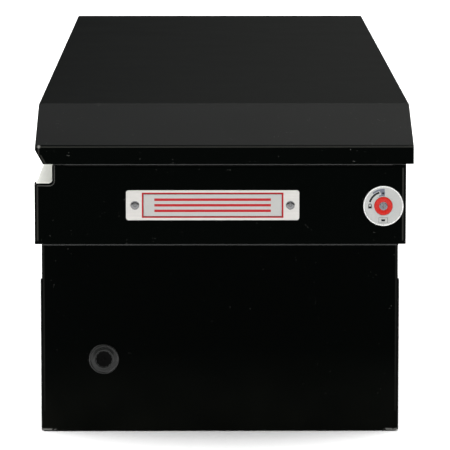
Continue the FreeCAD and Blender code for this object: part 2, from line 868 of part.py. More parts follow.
def stay_rod():
    base, way, length = stay_axis()
    piston_start = stay_tube_start + 2 * stay_cap
    piston = Part.makeCylinder(stay_tube_radius - stay_tube_wall - piston_gap, piston_length,
                               base + way * piston_start, way)
    rod_length = length - piston_start - stay_pin_radius - stay_plate
    rod = Part.makeCylinder(stay_rod_radius, rod_length, base + way * piston_start, way)
    return fused([piston, rod, eye(base + way * length, stay_pin_radius + running_gap)])


def stay_base_bracket():
    """Plate on the end panel with the stud that carries the gas spring's fixed eye."""
    base, way, length = stay_axis()
    half = stay_plate_width / 2
    outward = Vector(1, 0, 0)
    low_z = max(base.z - half, shelf_top + sheet)
    plate = block(-inside_x, stay_plate - inside_x, base.y - half, base.y + half, low_z, base.z + half)
    eye_face = -stay_x - eye_half
    boss = rod_along(outward, Vector(-inside_x, base.y, base.z), stay_boss_radius, eye_face - eye_gap + inside_x)
    inner_face = -stay_x + eye_half + eye_gap
    stud = rod_along(outward, Vector(-inside_x, base.y, base.z), stay_pin_radius, inner_face + inside_x)
    cap = rod_along(outward, Vector(inner_face, base.y, base.z), stay_cap_radius, stay_plate)
    return fused([plate, boss, stud, cap])


def stay_lid_bracket():
    """Plate on the lid frame's lip with a stud that ends beside the gas spring's moving eye."""
    base, way, length = stay_axis()
    stud_place = base + way * length
    half = stay_plate_width / 2
    plate = block(-rim_x, stay_plate - rim_x, stud_place.y - half, stud_place.y + half,
                  lid_bottom, lid_bottom + lid_lip_height)
    eye_face = -stay_x - eye_half
    stud = rod_along(Vector(1, 0, 0), Vector(-rim_x, stud_place.y, stud_place.z), stay_pin_radius,
                     eye_face - eye_gap + rim_x)
    return fused([plate, stud])


# Plate, rivets and plug
def badge():
    plate = block(-end_x - badge_thickness, -end_x, badge_y - badge_length / 2, badge_y + badge_length / 2,
                  badge_z - badge_height / 2, badge_z + badge_height / 2)
    corners = edges_at(plate, lambda middle, way: abs(way.x) > 0.9)
    plate = plate.makeFillet(badge_corner, corners)
    for y in badge_rivet_places():
        start = Vector(-end_x - badge_thickness, y, badge_z)
        plate = plate.cut(rod_along(Vector(1, 0, 0), start, rivet_shank + running_gap, badge_thickness))
    return plate


def badge_rivets():
    """Domed heads on the plate, with shanks through the panel."""
    rivets = []
    inward = Vector(1, 0, 0)
    face_x = -end_x - badge_thickness
    for y in badge_rivet_places():
        head = rod_along(inward, Vector(face_x - rivet_height, y, badge_z), rivet_radius, rivet_height)
        head = head.makeChamfer(rivet_edge, edges_at_circle(head, face_x - rivet_height, rivet_radius))
        shank = rod_along(inward, Vector(face_x, y, badge_z), rivet_shank, badge_thickness + 2 * sheet)
        rivets.append(fused([head, shank]))
    return rivets


def cable_plug():
    """Round plug: flange with a rolled edge, round recess, stem through the panel."""
    outward = Vector(1, 0, 0)
    face = Vector(-tub_x - plug_thickness, plug_y, plug_z)
    flange = rod_along(outward, face, plug_radius, plug_thickness)
    flange = flange.makeChamfer(plug_edge, edges_at_circle(flange, face.x, plug_radius))
    stem = rod_along(outward, Vector(-tub_x, plug_y, plug_z), plug_stem_radius, plug_stem_length)
    recess = rod_along(outward, face, plug_recess_radius, plug_recess_depth)
    return fused([flange, stem]).cut(recess)


# Tray
def tray_rail(wall_y, inward):
    """Angle along a long wall, whose top leg carries the tray."""
    start, along = along_x(tub_x - sheet - seat_gap)
    top = tray_floor_z - seat_gap
    corners = [(wall_y, top - rail_drop), (wall_y, top), (wall_y + inward * rail_leg, top)]
    return bent_sheet(corners, -inward * sheet, in_yz, start, along)


def parts_tray():
    """Open tray, folded from sheet, with a hem along its top edge."""
    right = tray_right_x
    left = tray_left_x
    top = tray_floor_z + tray_height
    outer = block(left, right, tray_front_y, tray_back_y, tray_floor_z, top)
    inner = block(left + tray_sheet, right - tray_sheet, tray_front_y + tray_sheet, tray_back_y - tray_sheet,
                  tray_floor_z + tray_sheet, top)
    hem_outer = block(left, right, tray_front_y, tray_back_y, top - tray_hem, top)
    hem = 2 * tray_sheet
    hem_inner = block(left + hem, right - hem, tray_front_y + hem, tray_back_y - hem, top - tray_hem, top)
    return fused([outer.cut(inner), hem_outer.cut(hem_inner)])


def tray_dividers():
    floor = tray_floor_z + tray_sheet
    pitch = tray_length / (divider_count + 1)
    walls = []
    for index in range(divider_count):
        x = tray_left_x + (index + 1) * pitch
        walls.append(block(x, x + tray_sheet, tray_front_y + tray_sheet, tray_back_y - tray_sheet,
                           floor, floor + divider_height))
    return Part.makeCompound(walls)


def save(name, shape):
    shape.exportStep("parts/" + name + ".step")


def save_pair(name, shape, other_end):
    """One piece at each end of the box."""
    save(name + "_left", shape)
    save(name + "_right", other_end(shape))


def turned_stay_angle():
    """How far the gas spring turns and how much longer it gets from lid shut to lid open."""
    base, way, length = stay_axis()
    angle = math.radians(lid_open_angle)
    open_y = hinge_y - stay_radius * math.cos(angle)
    open_z = hinge_z + stay_radius * math.sin(angle)
    open_length = math.hypot(open_y - base.y, open_z - base.z)
    open_turn = math.degrees(math.atan2(open_z - base.z, open_y - base.y))
    shut_turn = math.degrees(math.atan2(way.z, way.y))
    return open_turn - shut_turn, open_length - length


os.makedirs("parts", exist_ok=True)

save("floor_pan", floor_pan())
save("front_wall", front_wall())
save("rear_wall", rear_wall())
save("front_collar", front_collar())
save("rear_collar", rear_collar())
save("rim_seal", rim_seal())
save("hinge_body_leaf", hinge_body_leaf())
save("hinge_lid_leaf", hinge_lid_leaf())
save("hinge_pin", hinge_pin())
save("lid_skin", lid_skin())
save("lid_frame", lid_frame())
save("lid_stiffeners", lid_stiffeners())
save("release_rod", release_rod())
save("rod_guides", rod_guides())
save("tray_rail_front", tray_rail(wall_front + sheet, 1))
save("tray_rail_rear", tray_rail(wall_back - sheet, -1))
save("parts_tray", parts_tray())
save("tray_dividers", tray_dividers())

save_pair("tub_end", tub_end(), mirrored)
save_pair("saddle_end", saddle_end(), mirrored)
save_pair("saddle_shelf", saddle_shelf(), mirrored)
save_pair("rail_pads", rail_pads(), mirrored)
save_pair("name_plate", badge(), mirrored)
save_pair("cable_plug", cable_plug(), mirrored)
save_pair("lock_barrel", lock_body(), turned_lock_piece)
save_pair("lock_dial", lock_dial(), turned_lock_piece)
save_pair("push_button", push_button(), turned_lock_piece)
save_pair("key_cylinder", key_cylinder(), turned_lock_piece)
save_pair("latch_hook", latch_hook(), mirrored)
save_pair("latch_bracket", latch_bracket(), mirrored)
save_pair("striker", striker(), mirrored)
save_pair("gas_spring_tube", stay_tube(), moved_across)
save_pair("gas_spring_rod", stay_rod(), moved_across)
save_pair("stay_base_bracket", stay_base_bracket(), mirrored)
save_pair("stay_lid_bracket", stay_lid_bracket(), mirrored)

left_rivets = badge_rivets()
save("plate_rivets", Part.makeCompound(left_rivets + [mirrored(rivet) for rivet in left_rivets]))
save("lock_nuts", Part.makeCompound([lock_nut(), turned_lock_piece(lock_nut())]))
save("hook_pins", Part.makeCompound([hook_pin(), mirrored(hook_pin())]))
save("hook_springs", Part.makeCompound([hook_spring(), mirrored(hook_spring())]))

turn, stroke = turned_stay_angle()
base_place, stay_way, shut_length = stay_axis()
print("hinge axis y, z:", hinge_y, hinge_z)
print("gas spring base, direction, shut length:", base_place, stay_way, shut_length)
print("gas spring turn in degrees and stroke:", turn, stroke)
print("release rod travel:", link_arm * math.sin(math.radians(hook_angle)))
print("tray travel:", tray_right_x + tray_left_x)
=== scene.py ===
# %% Start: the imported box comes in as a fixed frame
import math

import bmesh
import bpy
from mathutils import Matrix, Vector


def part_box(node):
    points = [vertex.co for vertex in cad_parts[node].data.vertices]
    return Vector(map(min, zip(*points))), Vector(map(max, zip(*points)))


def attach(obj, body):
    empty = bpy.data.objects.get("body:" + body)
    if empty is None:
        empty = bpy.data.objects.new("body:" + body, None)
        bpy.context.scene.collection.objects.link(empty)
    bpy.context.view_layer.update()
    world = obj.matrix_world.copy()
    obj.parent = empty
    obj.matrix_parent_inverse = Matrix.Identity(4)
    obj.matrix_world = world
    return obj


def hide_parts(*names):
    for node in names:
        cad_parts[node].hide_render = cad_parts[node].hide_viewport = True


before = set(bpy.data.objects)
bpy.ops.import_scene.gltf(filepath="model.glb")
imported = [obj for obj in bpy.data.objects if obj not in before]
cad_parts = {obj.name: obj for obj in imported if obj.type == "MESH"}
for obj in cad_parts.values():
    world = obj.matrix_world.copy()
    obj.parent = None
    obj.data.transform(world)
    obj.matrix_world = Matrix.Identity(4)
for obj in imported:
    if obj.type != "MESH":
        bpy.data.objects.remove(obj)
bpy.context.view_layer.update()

# %% [markdown]
# The camera stands a little above one short end of the box and looks along its length.
# A long lens keeps the far edge of the lid almost as wide as the near one, as in a product
# photograph. The place and the tilt were worked out from corners of the box seen in the picture.

# %% Camera
CAMERA_PLACE = (-5.7726, 0.0234, 0.9802)
CAMERA_DOWN = math.radians(7.7617)
CAMERA_TURN = math.radians(-0.2915)
SENSOR = 36.0
LENS = 289.62

camera_data = bpy.data.cameras.new("photo_camera")
camera_data.sensor_width = SENSOR
camera_data.lens = LENS
camera_data.clip_end = 100
camera = bpy.data.objects.new("photo_camera", camera_data)
camera.location = CAMERA_PLACE
camera.rotation_euler = (math.pi / 2 - CAMERA_DOWN, 0, CAMERA_TURN - math.pi / 2)
bpy.context.scene.collection.objects.link(camera)
bpy.context.scene.camera = camera
print("camera:", CAMERA_PLACE, "lens:", LENS)

# %% [markdown]
# Most steps below start from a primitive and shape it in edit mode. The frame's own pieces are
# selected after loading, so everything is deselected first. Faces are then picked by their place
# or direction, which works at any time, while face numbers change with every step.

# %% Helpers for selecting and for edit mode
def nothing_selected():
    """Object mode with no object selected."""
    if bpy.context.object and bpy.context.object.mode != "OBJECT":
        bpy.ops.object.mode_set(mode="OBJECT")
    bpy.ops.object.select_all(action="DESELECT")


def edit(piece):
    nothing_selected()
    piece.select_set(True)
    bpy.context.view_layer.objects.active = piece
    bpy.ops.object.mode_set(mode="EDIT")


def pick_faces(test):
    """In edit mode, selects only the faces whose centre and normal pass the test."""
    bpy.ops.mesh.select_mode(type="FACE")
    bpy.ops.mesh.select_all(action="DESELECT")
    mesh = bmesh.from_edit_mesh(bpy.context.object.data)
    for face in mesh.faces:
        face.select = test(face.calc_center_median(), face.normal)
    mesh.select_flush_mode()
    bmesh.update_edit_mesh(bpy.context.object.data)


def pick_points(test):
    """In edit mode, selects only the vertices whose place passes the test."""
    bpy.ops.mesh.select_mode(type="VERT")
    bpy.ops.mesh.select_all(action="DESELECT")
    mesh = bmesh.from_edit_mesh(bpy.context.object.data)
    for point in mesh.verts:
        point.select = test(point.co)
    mesh.select_flush_mode()
    bmesh.update_edit_mesh(bpy.context.object.data)


# %% [markdown]
# A finished piece keeps its object at the origin, unturned and unscaled, with its place in its
# mesh. So a piece is modelled round the origin, where its sizes are easy to read, and its mesh is
# moved to its seat as the last thing.

# %% Helpers for seating and copying
UP_TO_LEFT = Matrix.Rotation(math.radians(-90), 4, "Y")
TO_RIGHT = Matrix.Scale(-1, 4, (1, 0, 0))


def seat(piece, matrix):
    """Moves the mesh of a piece to its place and leaves its object at the origin."""
    piece.data.transform(piece.matrix_basis)
    piece.data.transform(matrix)
    piece.matrix_basis = Matrix()
    if matrix.determinant() < 0:
        piece.data.flip_normals()
    piece.data.update()


def copy_of(piece, name, matrix):
    """A copy with its own mesh, moved by a matrix."""
    twin = piece.copy()
    twin.data = piece.data.copy()
    twin.name = name
    bpy.context.scene.collection.objects.link(twin)
    seat(twin, matrix)
    return twin


def joined(pieces, name):
    """Several pieces as one object."""
    nothing_selected()
    for piece in pieces:
        piece.select_set(True)
    bpy.context.view_layer.objects.active = pieces[0]
    if len(pieces) > 1:
        bpy.ops.object.join()
    whole = bpy.context.object
    whole.name = name
    nothing_selected()
    return whole


def done(piece, body, material):
    """Gives a piece its material and the body that it moves with."""
    piece.data.materials.clear()
    piece.data.materials.append(material)
    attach(piece, body)
    print(piece.name, "faces:", len(piece.data.polygons), "rides on", body)
    return piece


def both_ends_of(left, name, matrix, body, material):
    """Copies the left end's piece to the right end by a matrix, and finishes both. A body whose
    name stops at _ has one of its kind at each end."""
    left.name = name + "_left"
    right = copy_of(left, name + "_right", matrix)
    for piece, end in ((left, "left"), (right, "right")):
        done(piece, body + end if body.endswith("_") else body, material)
    return left, right


def centre_of(node):
    low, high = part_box(node)
    return (Vector(low) + Vector(high)) / 2


def smooth(piece, angle=35):
    nothing_selected()
    piece.select_set(True)
    bpy.context.view_layer.objects.active = piece
    bpy.ops.object.shade_smooth_by_angle(angle=math.radians(angle))
    piece.select_set(False)


# %% [markdown]
# Many small pieces are round and face one way: rivets, plug, button, key plug. Each starts as a
# cylinder standing on the origin. Its top face is inset again and again, and each inset also
# moves up or down, so the steps draw the profile as a lathe would.

# %% Helper for turned pieces
def turned(name, radius, height, steps, sides=48):
    """Cylinder from z = 0 up to height, whose top is drawn by steps of (inset, lift)."""
    nothing_selected()
    bpy.ops.mesh.primitive_cylinder_add(vertices=sides, radius=radius, depth=height,
                                        location=(0, 0, height / 2))
    piece = bpy.context.object
    piece.name = name
    bpy.ops.object.transform_apply()
    bpy.ops.object.mode_set(mode="EDIT")
    pick_faces(lambda centre, normal: normal.z > 0.9)
    for inset, lift in steps:
        bpy.ops.mesh.inset(thickness=inset, depth=lift)
    bpy.ops.object.mode_set(mode="OBJECT")
    smooth(piece)
    return piece


# %% [markdown]
# Every finish is made of nodes. Noise that is read at Object coordinates stays where it is on the
# piece, so the same paint can run over several sheets without a seam. Small changes in roughness
# matter more than changes in colour: they break up a reflection as real paint and metal do.

# %% Helpers for materials
ALONG = (1, 0, 0)
ACROSS = (0, 1, 0)
UP = (0, 0, 1)


def socket_of(material, name):
    """A socket of the material's shader."""
    return material.node_tree.nodes["Principled BSDF"].inputs[name]


def new_material(name, colour, roughness, metallic=0.0):
    material = bpy.data.materials.new(name)
    material.use_nodes = True
    socket_of(material, "Base Color").default_value = (*colour, 1)
    socket_of(material, "Roughness").default_value = roughness
    socket_of(material, "Metallic").default_value = metallic
    return material


def set_gloss(material, value):
    socket_of(material, "Specular IOR Level").default_value = value


def add_node(material, kind, **settings):
    node = material.node_tree.nodes.new(kind)
    for key, value in settings.items():
        setattr(node, key, value)
    return node


def wire(material, output, socket):
    material.node_tree.links.new(output, socket)


def feed(material, name, output):
    """Wires an output to one of the shader's sockets."""
    wire(material, output, socket_of(material, name))


def place_of(material, stretch=(1, 1, 1)):
    """Object coordinates, stretched along the axes."""
    coordinates = add_node(material, "ShaderNodeTexCoord")
    mapping = add_node(material, "ShaderNodeMapping")
    mapping.inputs["Scale"].default_value = stretch
    wire(material, coordinates.outputs["Object"], mapping.inputs["Vector"])
    return mapping.outputs["Vector"]


def grain(material, scale, stretch=(1, 1, 1), detail=4.0):
    """Noise between 0 and 1."""
    noise = add_node(material, "ShaderNodeTexNoise")
    noise.inputs["Scale"].default_value = scale
    noise.inputs["Detail"].default_value = detail
    wire(material, place_of(material, stretch), noise.inputs["Vector"])
    return noise.outputs["Fac"]


def between(material, factor, low, high, start=0.3, end=0.7):
    """A number that goes from low to high while the factor goes from start to end."""
    spread = add_node(material, "ShaderNodeMapRange")
    spread.inputs["From Min"].default_value = start
    spread.inputs["From Max"].default_value = end
    spread.inputs["To Min"].default_value = low
    spread.inputs["To Max"].default_value = high
    wire(material, factor, spread.inputs["Value"])
    return spread.outputs["Result"]


def colour_mix(material, factor):
    """The two colour sockets of a mix, and its output."""
    mix = add_node(material, "ShaderNodeMix", data_type="RGBA")
    wire(material, factor, mix.inputs[0])
    first, second = [socket for socket in mix.inputs if socket.type == "RGBA"]
    return first, second, [socket for socket in mix.outputs if socket.type == "RGBA"][0]


def colour_between(material, factor, first, second):
    first_socket, second_socket, result = colour_mix(material, factor)
    first_socket.default_value = (*first, 1)
    second_socket.default_value = (*second, 1)
    return result


def bumps(material, factor, strength, depth):
    """Small hills on the surface, depth in metres."""
    bump = add_node(material, "ShaderNodeBump")
    bump.inputs["Strength"].default_value = strength
    bump.inputs["Distance"].default_value = depth
    wire(material, factor, bump.inputs["Height"])
    feed(material, "Normal", bump.outputs["Normal"])


def times(material, first, second):
    node = add_node(material, "ShaderNodeMath", operation="MULTIPLY")
    wire(material, first, node.inputs[0])
    wire(material, second, node.inputs[1])
    return node.outputs["Value"]


def along(material, way):
    """How far a point lies along a direction, in metres."""
    product = add_node(material, "ShaderNodeVectorMath", operation="DOT_PRODUCT")
    product.inputs[1].default_value = way
    wire(material, place_of(material), product.inputs[0])
    return product.outputs["Value"]


def stripe(material, way, place, width, ends=None):
    """A soft line square to a direction: 1 in its middle, 0 at its width. ends limit it along Z."""
    distance = add_node(material, "ShaderNodeMath", operation="SUBTRACT")
    distance.inputs[1].default_value = place
    wire(material, along(material, way), distance.inputs[0])
    size = add_node(material, "ShaderNodeMath", operation="ABSOLUTE")
    wire(material, distance.outputs["Value"], size.inputs[0])
    line = between(material, size.outputs["Value"], 1.0, 0.0, width / 3, width)
    if ends:
        height = along(material, UP)
        line = times(material, line, between(material, height, 0.0, 1.0, ends[0] - width, ends[0]))
        line = times(material, line, between(material, height, 1.0, 0.0, ends[1], ends[1] + width))
    return line


def specks(material, scale, size):
    """Scattered dots: 1 in the middle of a dot and 0 between dots."""
    cells = add_node(material, "ShaderNodeTexVoronoi")
    cells.inputs["Scale"].default_value = scale
    wire(material, place_of(material), cells.inputs["Vector"])
    dots = between(material, cells.outputs["Distance"], 1.0, 0.0, size / 2, size)
    patches = between(material, grain(material, scale / 4), 0.0, 1.0, 0.58, 0.64)
    return times(material, dots, patches)


# %% [markdown]
# The sheet metal has a gloss black powder coat. It is nearly black where it faces the camera and
# turns grey where it lies flat, because a coat reflects far more at a low angle. A fine noise as
# bump gives the slight orange peel of sprayed powder, and sparse pale specks are dust. A sheet
# that also shows inside the box is painted a little paler wherever a point lies under its outer
# skin: a painted sheen.

# %% Black coat
BLACK = (0.0006, 0.0010, 0.0008)
# DUST_AND_SHEEN is the pale grey of the dust specks and of the lid's painted sheen.
DUST_AND_SHEEN = (0.16, 0.16, 0.15)


def black_coat(name, colour, roughness, dust_size, gloss):
    """Returns the material and its colour's output, so that marks can be laid over it."""
    material = new_material(name, colour, roughness)
    set_gloss(material, gloss)
    dust = specks(material, 260, dust_size)
    paint = colour_between(material, dust, colour, DUST_AND_SHEEN)
    feed(material, "Base Color", paint)
    clouds = grain(material, 9, detail=6)
    feed(material, "Roughness", between(material, clouds, roughness - 0.015, roughness + 0.025))
    bumps(material, grain(material, 900, detail=2), 0.12, 0.0002)
    return material, paint


def over(material, paint, mask, colour):
    """Lays a colour over the paint where the mask is 1, and returns the new paint."""
    below, above, new_paint = colour_mix(material, mask)
    wire(material, paint, below)
    above.default_value = (*colour, 1)
    feed(material, "Base Color", new_paint)
    return new_paint


def deeper_than(material, faces):
    """1 where a point lies under all of the faces, each given by its direction and its place."""
    mask = None
    for way, place in faces:
        under = between(material, along(material, way), 1.0, 0.0, place - SKIN, place - SKIN / 2)
        mask = under if mask is None else times(material, mask, under)
    return mask


SKIN = 0.0008
# INSIDE_BLACK is also laid over the inner faces of the end panels and of the lid as a painted sheen.
INSIDE_BLACK = (0.0085, 0.0088, 0.0085)
coat_walls, _ = black_coat("coat_walls", (0.0050, 0.0053, 0.0050), 0.26, dust_size=0.10, gloss=0.06)
coat_inside, _ = black_coat("coat_inside", INSIDE_BLACK, 0.34, dust_size=0.10, gloss=0.22)
coat_tray, _ = black_coat("coat_tray", (0.020, 0.0205, 0.020), 0.42, dust_size=0.08, gloss=0.3)
print("black coats:", coat_walls.name, coat_inside.name, coat_tray.name)

# %% [markdown]
# On each fold the coat gets a grey line: a painted highlight where the fold would catch the light.
# The lines lie four or five millimetres inside the edges of the end panels and along the foot of
# the lid's slope. Each is a stripe at a fixed place, so it stays on its fold when the lid opens. The
# lid has a painted glint at its corner, and the tub has a little road dust low down and painted glints
# over its feet.

# %% Painted fold highlights and glints
FOLD_HIGHLIGHT = (0.022, 0.0225, 0.020)
FAINT_FOLD_HIGHLIGHT = (0.009, 0.0095, 0.0085)
# Pale grey of the painted glints at the lid's corner and over the feet.
PAINTED_GLINT = (0.24, 0.24, 0.225)
SHEEN_AMOUNT = 0.030
ROAD_DUST = (0.0046, 0.0050, 0.0040)
ROAD_DUST_HEIGHT = 0.12
FOOT_REACH = 0.020
FOOT_HEIGHTS = (0.0022, 0.0050)
HINGE_EDGE = 0.2572
OPENING_EDGE = -0.2472
LID_EDGE = 0.2545
SLOPE_FOOT = 0.4236
CORNER_GLINT_PLACE = (-0.9065, LID_EDGE - 0.004, SLOPE_FOOT)
CORNER_GLINT_RADII = (0.0004, 0.0030)

# Each painted fold highlight: its place across the box, half its line's width, and the line's lowest
# and highest point.
SADDLE_FOLD_HIGHLIGHTS = ((HINGE_EDGE - 0.0042, 0.0016, (0.296, 0.370)),
                (OPENING_EDGE + 0.0045, 0.0014, (0.296, 0.394)))
TUB_FOLD_HIGHLIGHTS = ((HINGE_EDGE - 0.0045, 0.0016, (0.03, 0.286)),
             (OPENING_EDGE + 0.0045, 0.0016, (0.03, 0.286)))
# The lid's painted fold highlights lie on its skirt and on its bevel, so each has its own direction.
LID_FOLD_HIGHLIGHTS = ((ACROSS, LID_EDGE - 0.0036, (0.413, 0.421)),
             ((0, 0.872, -0.489), 0.0148, (0.402, 0.412)))
LID_HIGHLIGHT_WIDTH = 0.0013


def both_ends(place):
    return [(ALONG, place), ((-1, 0, 0), place)]


def lid_faces():
    """Directions and places of the lid's outer faces: top, two slopes, two ends and two sides."""
    low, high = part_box("lid_skin")
    corners = [corner.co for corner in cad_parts["lid_skin"].data.vertices]
    top_end = max(corner.x for corner in corners if corner.z > high[2] - 0.0001)
    run, rise = high[0] - top_end, high[2] - SLOPE_FOOT
    size = math.hypot(run, rise)
    slope = (rise * top_end + run * high[2]) / size
    angle = math.degrees(math.atan2(rise, run))
    print("lid's top ends at x:", round(top_end, 4), "slope's angle:", round(angle, 1))
    return both_ends(high[0]) + [
        (UP, high[2]), ((rise / size, 0, run / size), slope), ((-rise / size, 0, run / size), slope),
        (ACROSS, high[1]), ((0, -1, 0), -low[1]),
    ]


def end_coat(name, node, folds, grey):
    """Coat of an end panel: black on its face, paler on its flanges as a painted sheen, with a painted
    highlight line on each fold.
    """
    material, paint = black_coat(name, BLACK, 0.24, dust_size=0.10, gloss=0.006)
    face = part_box(node)[1][0]
    # Painted sheen: the flanges and inner faces behind the outer face are painted paler.
    paint = over(material, paint, deeper_than(material, both_ends(face)), INSIDE_BLACK)
    # Painted highlight: a grey line on each fold.
    for place, width, ends in folds:
        paint = over(material, paint, stripe(material, ACROSS, place, width, ends), grey)
    return material, paint


coat_saddle, _ = end_coat("coat_saddle", "saddle_end_right", SADDLE_FOLD_HIGHLIGHTS, FOLD_HIGHLIGHT)

coat_tub, paint = end_coat("coat_tub", "tub_end_right", TUB_FOLD_HIGHLIGHTS, FAINT_FOLD_HIGHLIGHT)
height = along(coat_tub, UP)
dusty = times(coat_tub, between(coat_tub, height, 0.9, 0.0, 0.0, ROAD_DUST_HEIGHT),
              between(coat_tub, grain(coat_tub, 14), 0.45, 1.0))
paint = over(coat_tub, paint, dusty, ROAD_DUST)
# Painted glints: pale flecks low on the tub over its feet at each corner.
for way, edge in ((ACROSS, HINGE_EDGE), ((0, -1, 0), -OPENING_EDGE)):
    start = edge - FOOT_REACH
    corner = between(coat_tub, along(coat_tub, way), 0.0, 1.0, start - 0.002, start + 0.002)
    foot_glint = times(coat_tub, corner, between(coat_tub, height, 1.0, 0.0, *FOOT_HEIGHTS))
    foot_glint = times(coat_tub, foot_glint, between(coat_tub, grain(coat_tub, 180), 0.0, 1.0, 0.42, 0.50))
    paint = over(coat_tub, paint, foot_glint, PAINTED_GLINT)

coat_lid, paint = black_coat("coat_lid", BLACK, 0.3, dust_size=0.13, gloss=0.0085)
# Painted sheen: the lid's top and slope are painted a little paler towards the opening side.
sheen_across = between(coat_lid, along(coat_lid, (0, -1, 0)), 0.0, SHEEN_AMOUNT, -LID_EDGE, LID_EDGE)
height = along(coat_lid, UP)
on_top = between(coat_lid, height, 0.0, 1.0, SLOPE_FOOT - 0.001, SLOPE_FOOT + 0.001)
paint = over(coat_lid, paint, times(coat_lid, sheen_across, on_top), DUST_AND_SHEEN)
# Painted highlights: a grey line along the foot of the slope and one on each of the lid's folds.
paint = over(coat_lid, paint, stripe(coat_lid, UP, SLOPE_FOOT, 0.0011), FOLD_HIGHLIGHT)
for way, place, ends in LID_FOLD_HIGHLIGHTS:
    paint = over(coat_lid, paint, stripe(coat_lid, way, place, LID_HIGHLIGHT_WIDTH, ends), FOLD_HIGHLIGHT)
# Painted sheen: the lid's inner faces are painted paler.
paint = over(coat_lid, paint, deeper_than(coat_lid, lid_faces()), INSIDE_BLACK)
# Painted glint: a pale spot at the lid's corner.
ball = add_node(coat_lid, "ShaderNodeVectorMath", operation="DISTANCE")
ball.inputs[1].default_value = CORNER_GLINT_PLACE
wire(coat_lid, place_of(coat_lid), ball.inputs[0])
over(coat_lid, paint, between(coat_lid, ball.outputs["Value"], 1.0, 0.0, *CORNER_GLINT_RADII), PAINTED_GLINT)

# The rolled edge's coat is paler than the panels': a painted highlight along the ridge.
coat_roll_highlight, _ = black_coat("coat_roll_highlight", (0.020, 0.0205, 0.0185), 0.3, dust_size=0.10, gloss=0.25)
print("folds on:", coat_saddle.name, coat_tub.name, coat_lid.name)

# %% [markdown]
# Bare metals differ by how they were worked. A rolled strip and the plate have fine lines along
# their length, so the noise is stretched hard along one axis. Zinc plating is cloudy instead, and
# the dial is cast and blasted, with a close speckle. The part of the hinge strip that lies on the
# ledge is dull, with a painted reflection that makes it pale, and above the ledge it is darker and
# more of a mirror.

# %% Metals
ABOVE_LEDGE = (0.3745, 0.3765)


def brushed(name, colour, dark, roughness, stretch, scale=260):
    """Metal with fine lines along the axis where the stretch is small."""
    material = new_material(name, colour, roughness, 1.0)
    lines = grain(material, scale, stretch, detail=3)
    feed(material, "Base Color", colour_between(material, lines, dark, colour))
    feed(material, "Roughness", between(material, lines, roughness - 0.06, roughness + 0.1))
    bumps(material, lines, 0.15, 0.0001)
    return material


def cloudy(name, colour, dark, roughness, scale=60, metallic=1.0):
    """Metal with soft darker clouds and a close speckle."""
    material = new_material(name, colour, roughness, metallic)
    clouds = grain(material, scale, detail=8)
    feed(material, "Base Color", colour_between(material, clouds, dark, colour))
    feed(material, "Roughness", between(material, clouds, roughness - 0.07, roughness + 0.1))
    bumps(material, grain(material, scale * 12, detail=2), 0.1, 0.0001)
    return material


strip_metal = brushed("strip_metal", (0.90, 0.905, 0.845), (0.76, 0.77, 0.72), 0.42, (0.02, 1, 1))
strip_height = along(strip_metal, UP)
strip_colour = socket_of(strip_metal, "Base Color").links[0].from_socket
# Painted reflection: the strip is pale where it lies on the ledge and darker where it stands above it.
standing = between(strip_metal, strip_height, 0.0, 0.85, *ABOVE_LEDGE)
over(strip_metal, strip_colour, standing, (0.30, 0.305, 0.295))
feed(strip_metal, "Metallic", between(strip_metal, strip_height, 0.25, 0.9, *ABOVE_LEDGE))
plate_metal = brushed("plate_metal", (0.62, 0.605, 0.58), (0.48, 0.47, 0.45), 0.42, (1, 0.03, 1), 400)
zinc = cloudy("zinc", (0.62, 0.63, 0.64), (0.42, 0.43, 0.45), 0.34)
rivet_metal = cloudy("rivet_metal", (0.20, 0.20, 0.20), (0.11, 0.11, 0.115), 0.22, 300)
plate_satin = brushed("plate_satin", (0.50, 0.50, 0.485), (0.39, 0.39, 0.38), 0.5, (1, 0.03, 1), 400)
dial_metal = cloudy("dial_metal", (0.50, 0.505, 0.49), (0.33, 0.335, 0.33), 0.5, 900, 0.7)
rim_metal = cloudy("rim_metal", (0.80, 0.80, 0.79), (0.66, 0.66, 0.65), 0.3, 400, 0.6)
key_metal = cloudy("key_metal", (0.22, 0.22, 0.23), (0.12, 0.12, 0.13), 0.3, 500)
rod_chrome = brushed("rod_chrome", (0.75, 0.76, 0.78), (0.6, 0.61, 0.63), 0.14, (1, 0.3, 0.3), 300)
spring_steel = cloudy("spring_steel", (0.3, 0.31, 0.34), (0.16, 0.17, 0.19), 0.33, 200)
print("metals:", strip_metal.name, plate_metal.name, zinc.name, dial_metal.name)

# %% [markdown]
# Rubber scatters light and hardly reflects, so it gets a high roughness and a lively bump. The
# foam seal has open pores, the moulded plug and pads are finer. The lock's button is red plastic
# with a clear gloss.

# %% Rubber, plastic and ink
def rubber(name, colour, pale, roughness, scale, strength):
    """Rubber, plastic, paint or ink: paler in its pores, with a bump of the given strength."""
    material = new_material(name, colour, roughness)
    pores = grain(material, scale, detail=6)
    feed(material, "Base Color", colour_between(material, pores, colour, pale))
    feed(material, "Roughness", between(material, pores, roughness - 0.1, roughness + 0.08))
    bumps(material, pores, strength, 0.0004)
    return material


foam_rubber = rubber("foam_rubber", (0.022, 0.023, 0.022), (0.045, 0.046, 0.044), 0.85, 1400, 0.6)
pad_rubber = rubber("pad_rubber", (0.016, 0.0165, 0.016), (0.03, 0.031, 0.03), 0.75, 700, 0.3)
plug_rubber = rubber("plug_rubber", (0.0030, 0.0036, 0.0032), (0.0065, 0.0072, 0.0065), 0.36, 500, 0.2)
set_gloss(plug_rubber, 0.35)
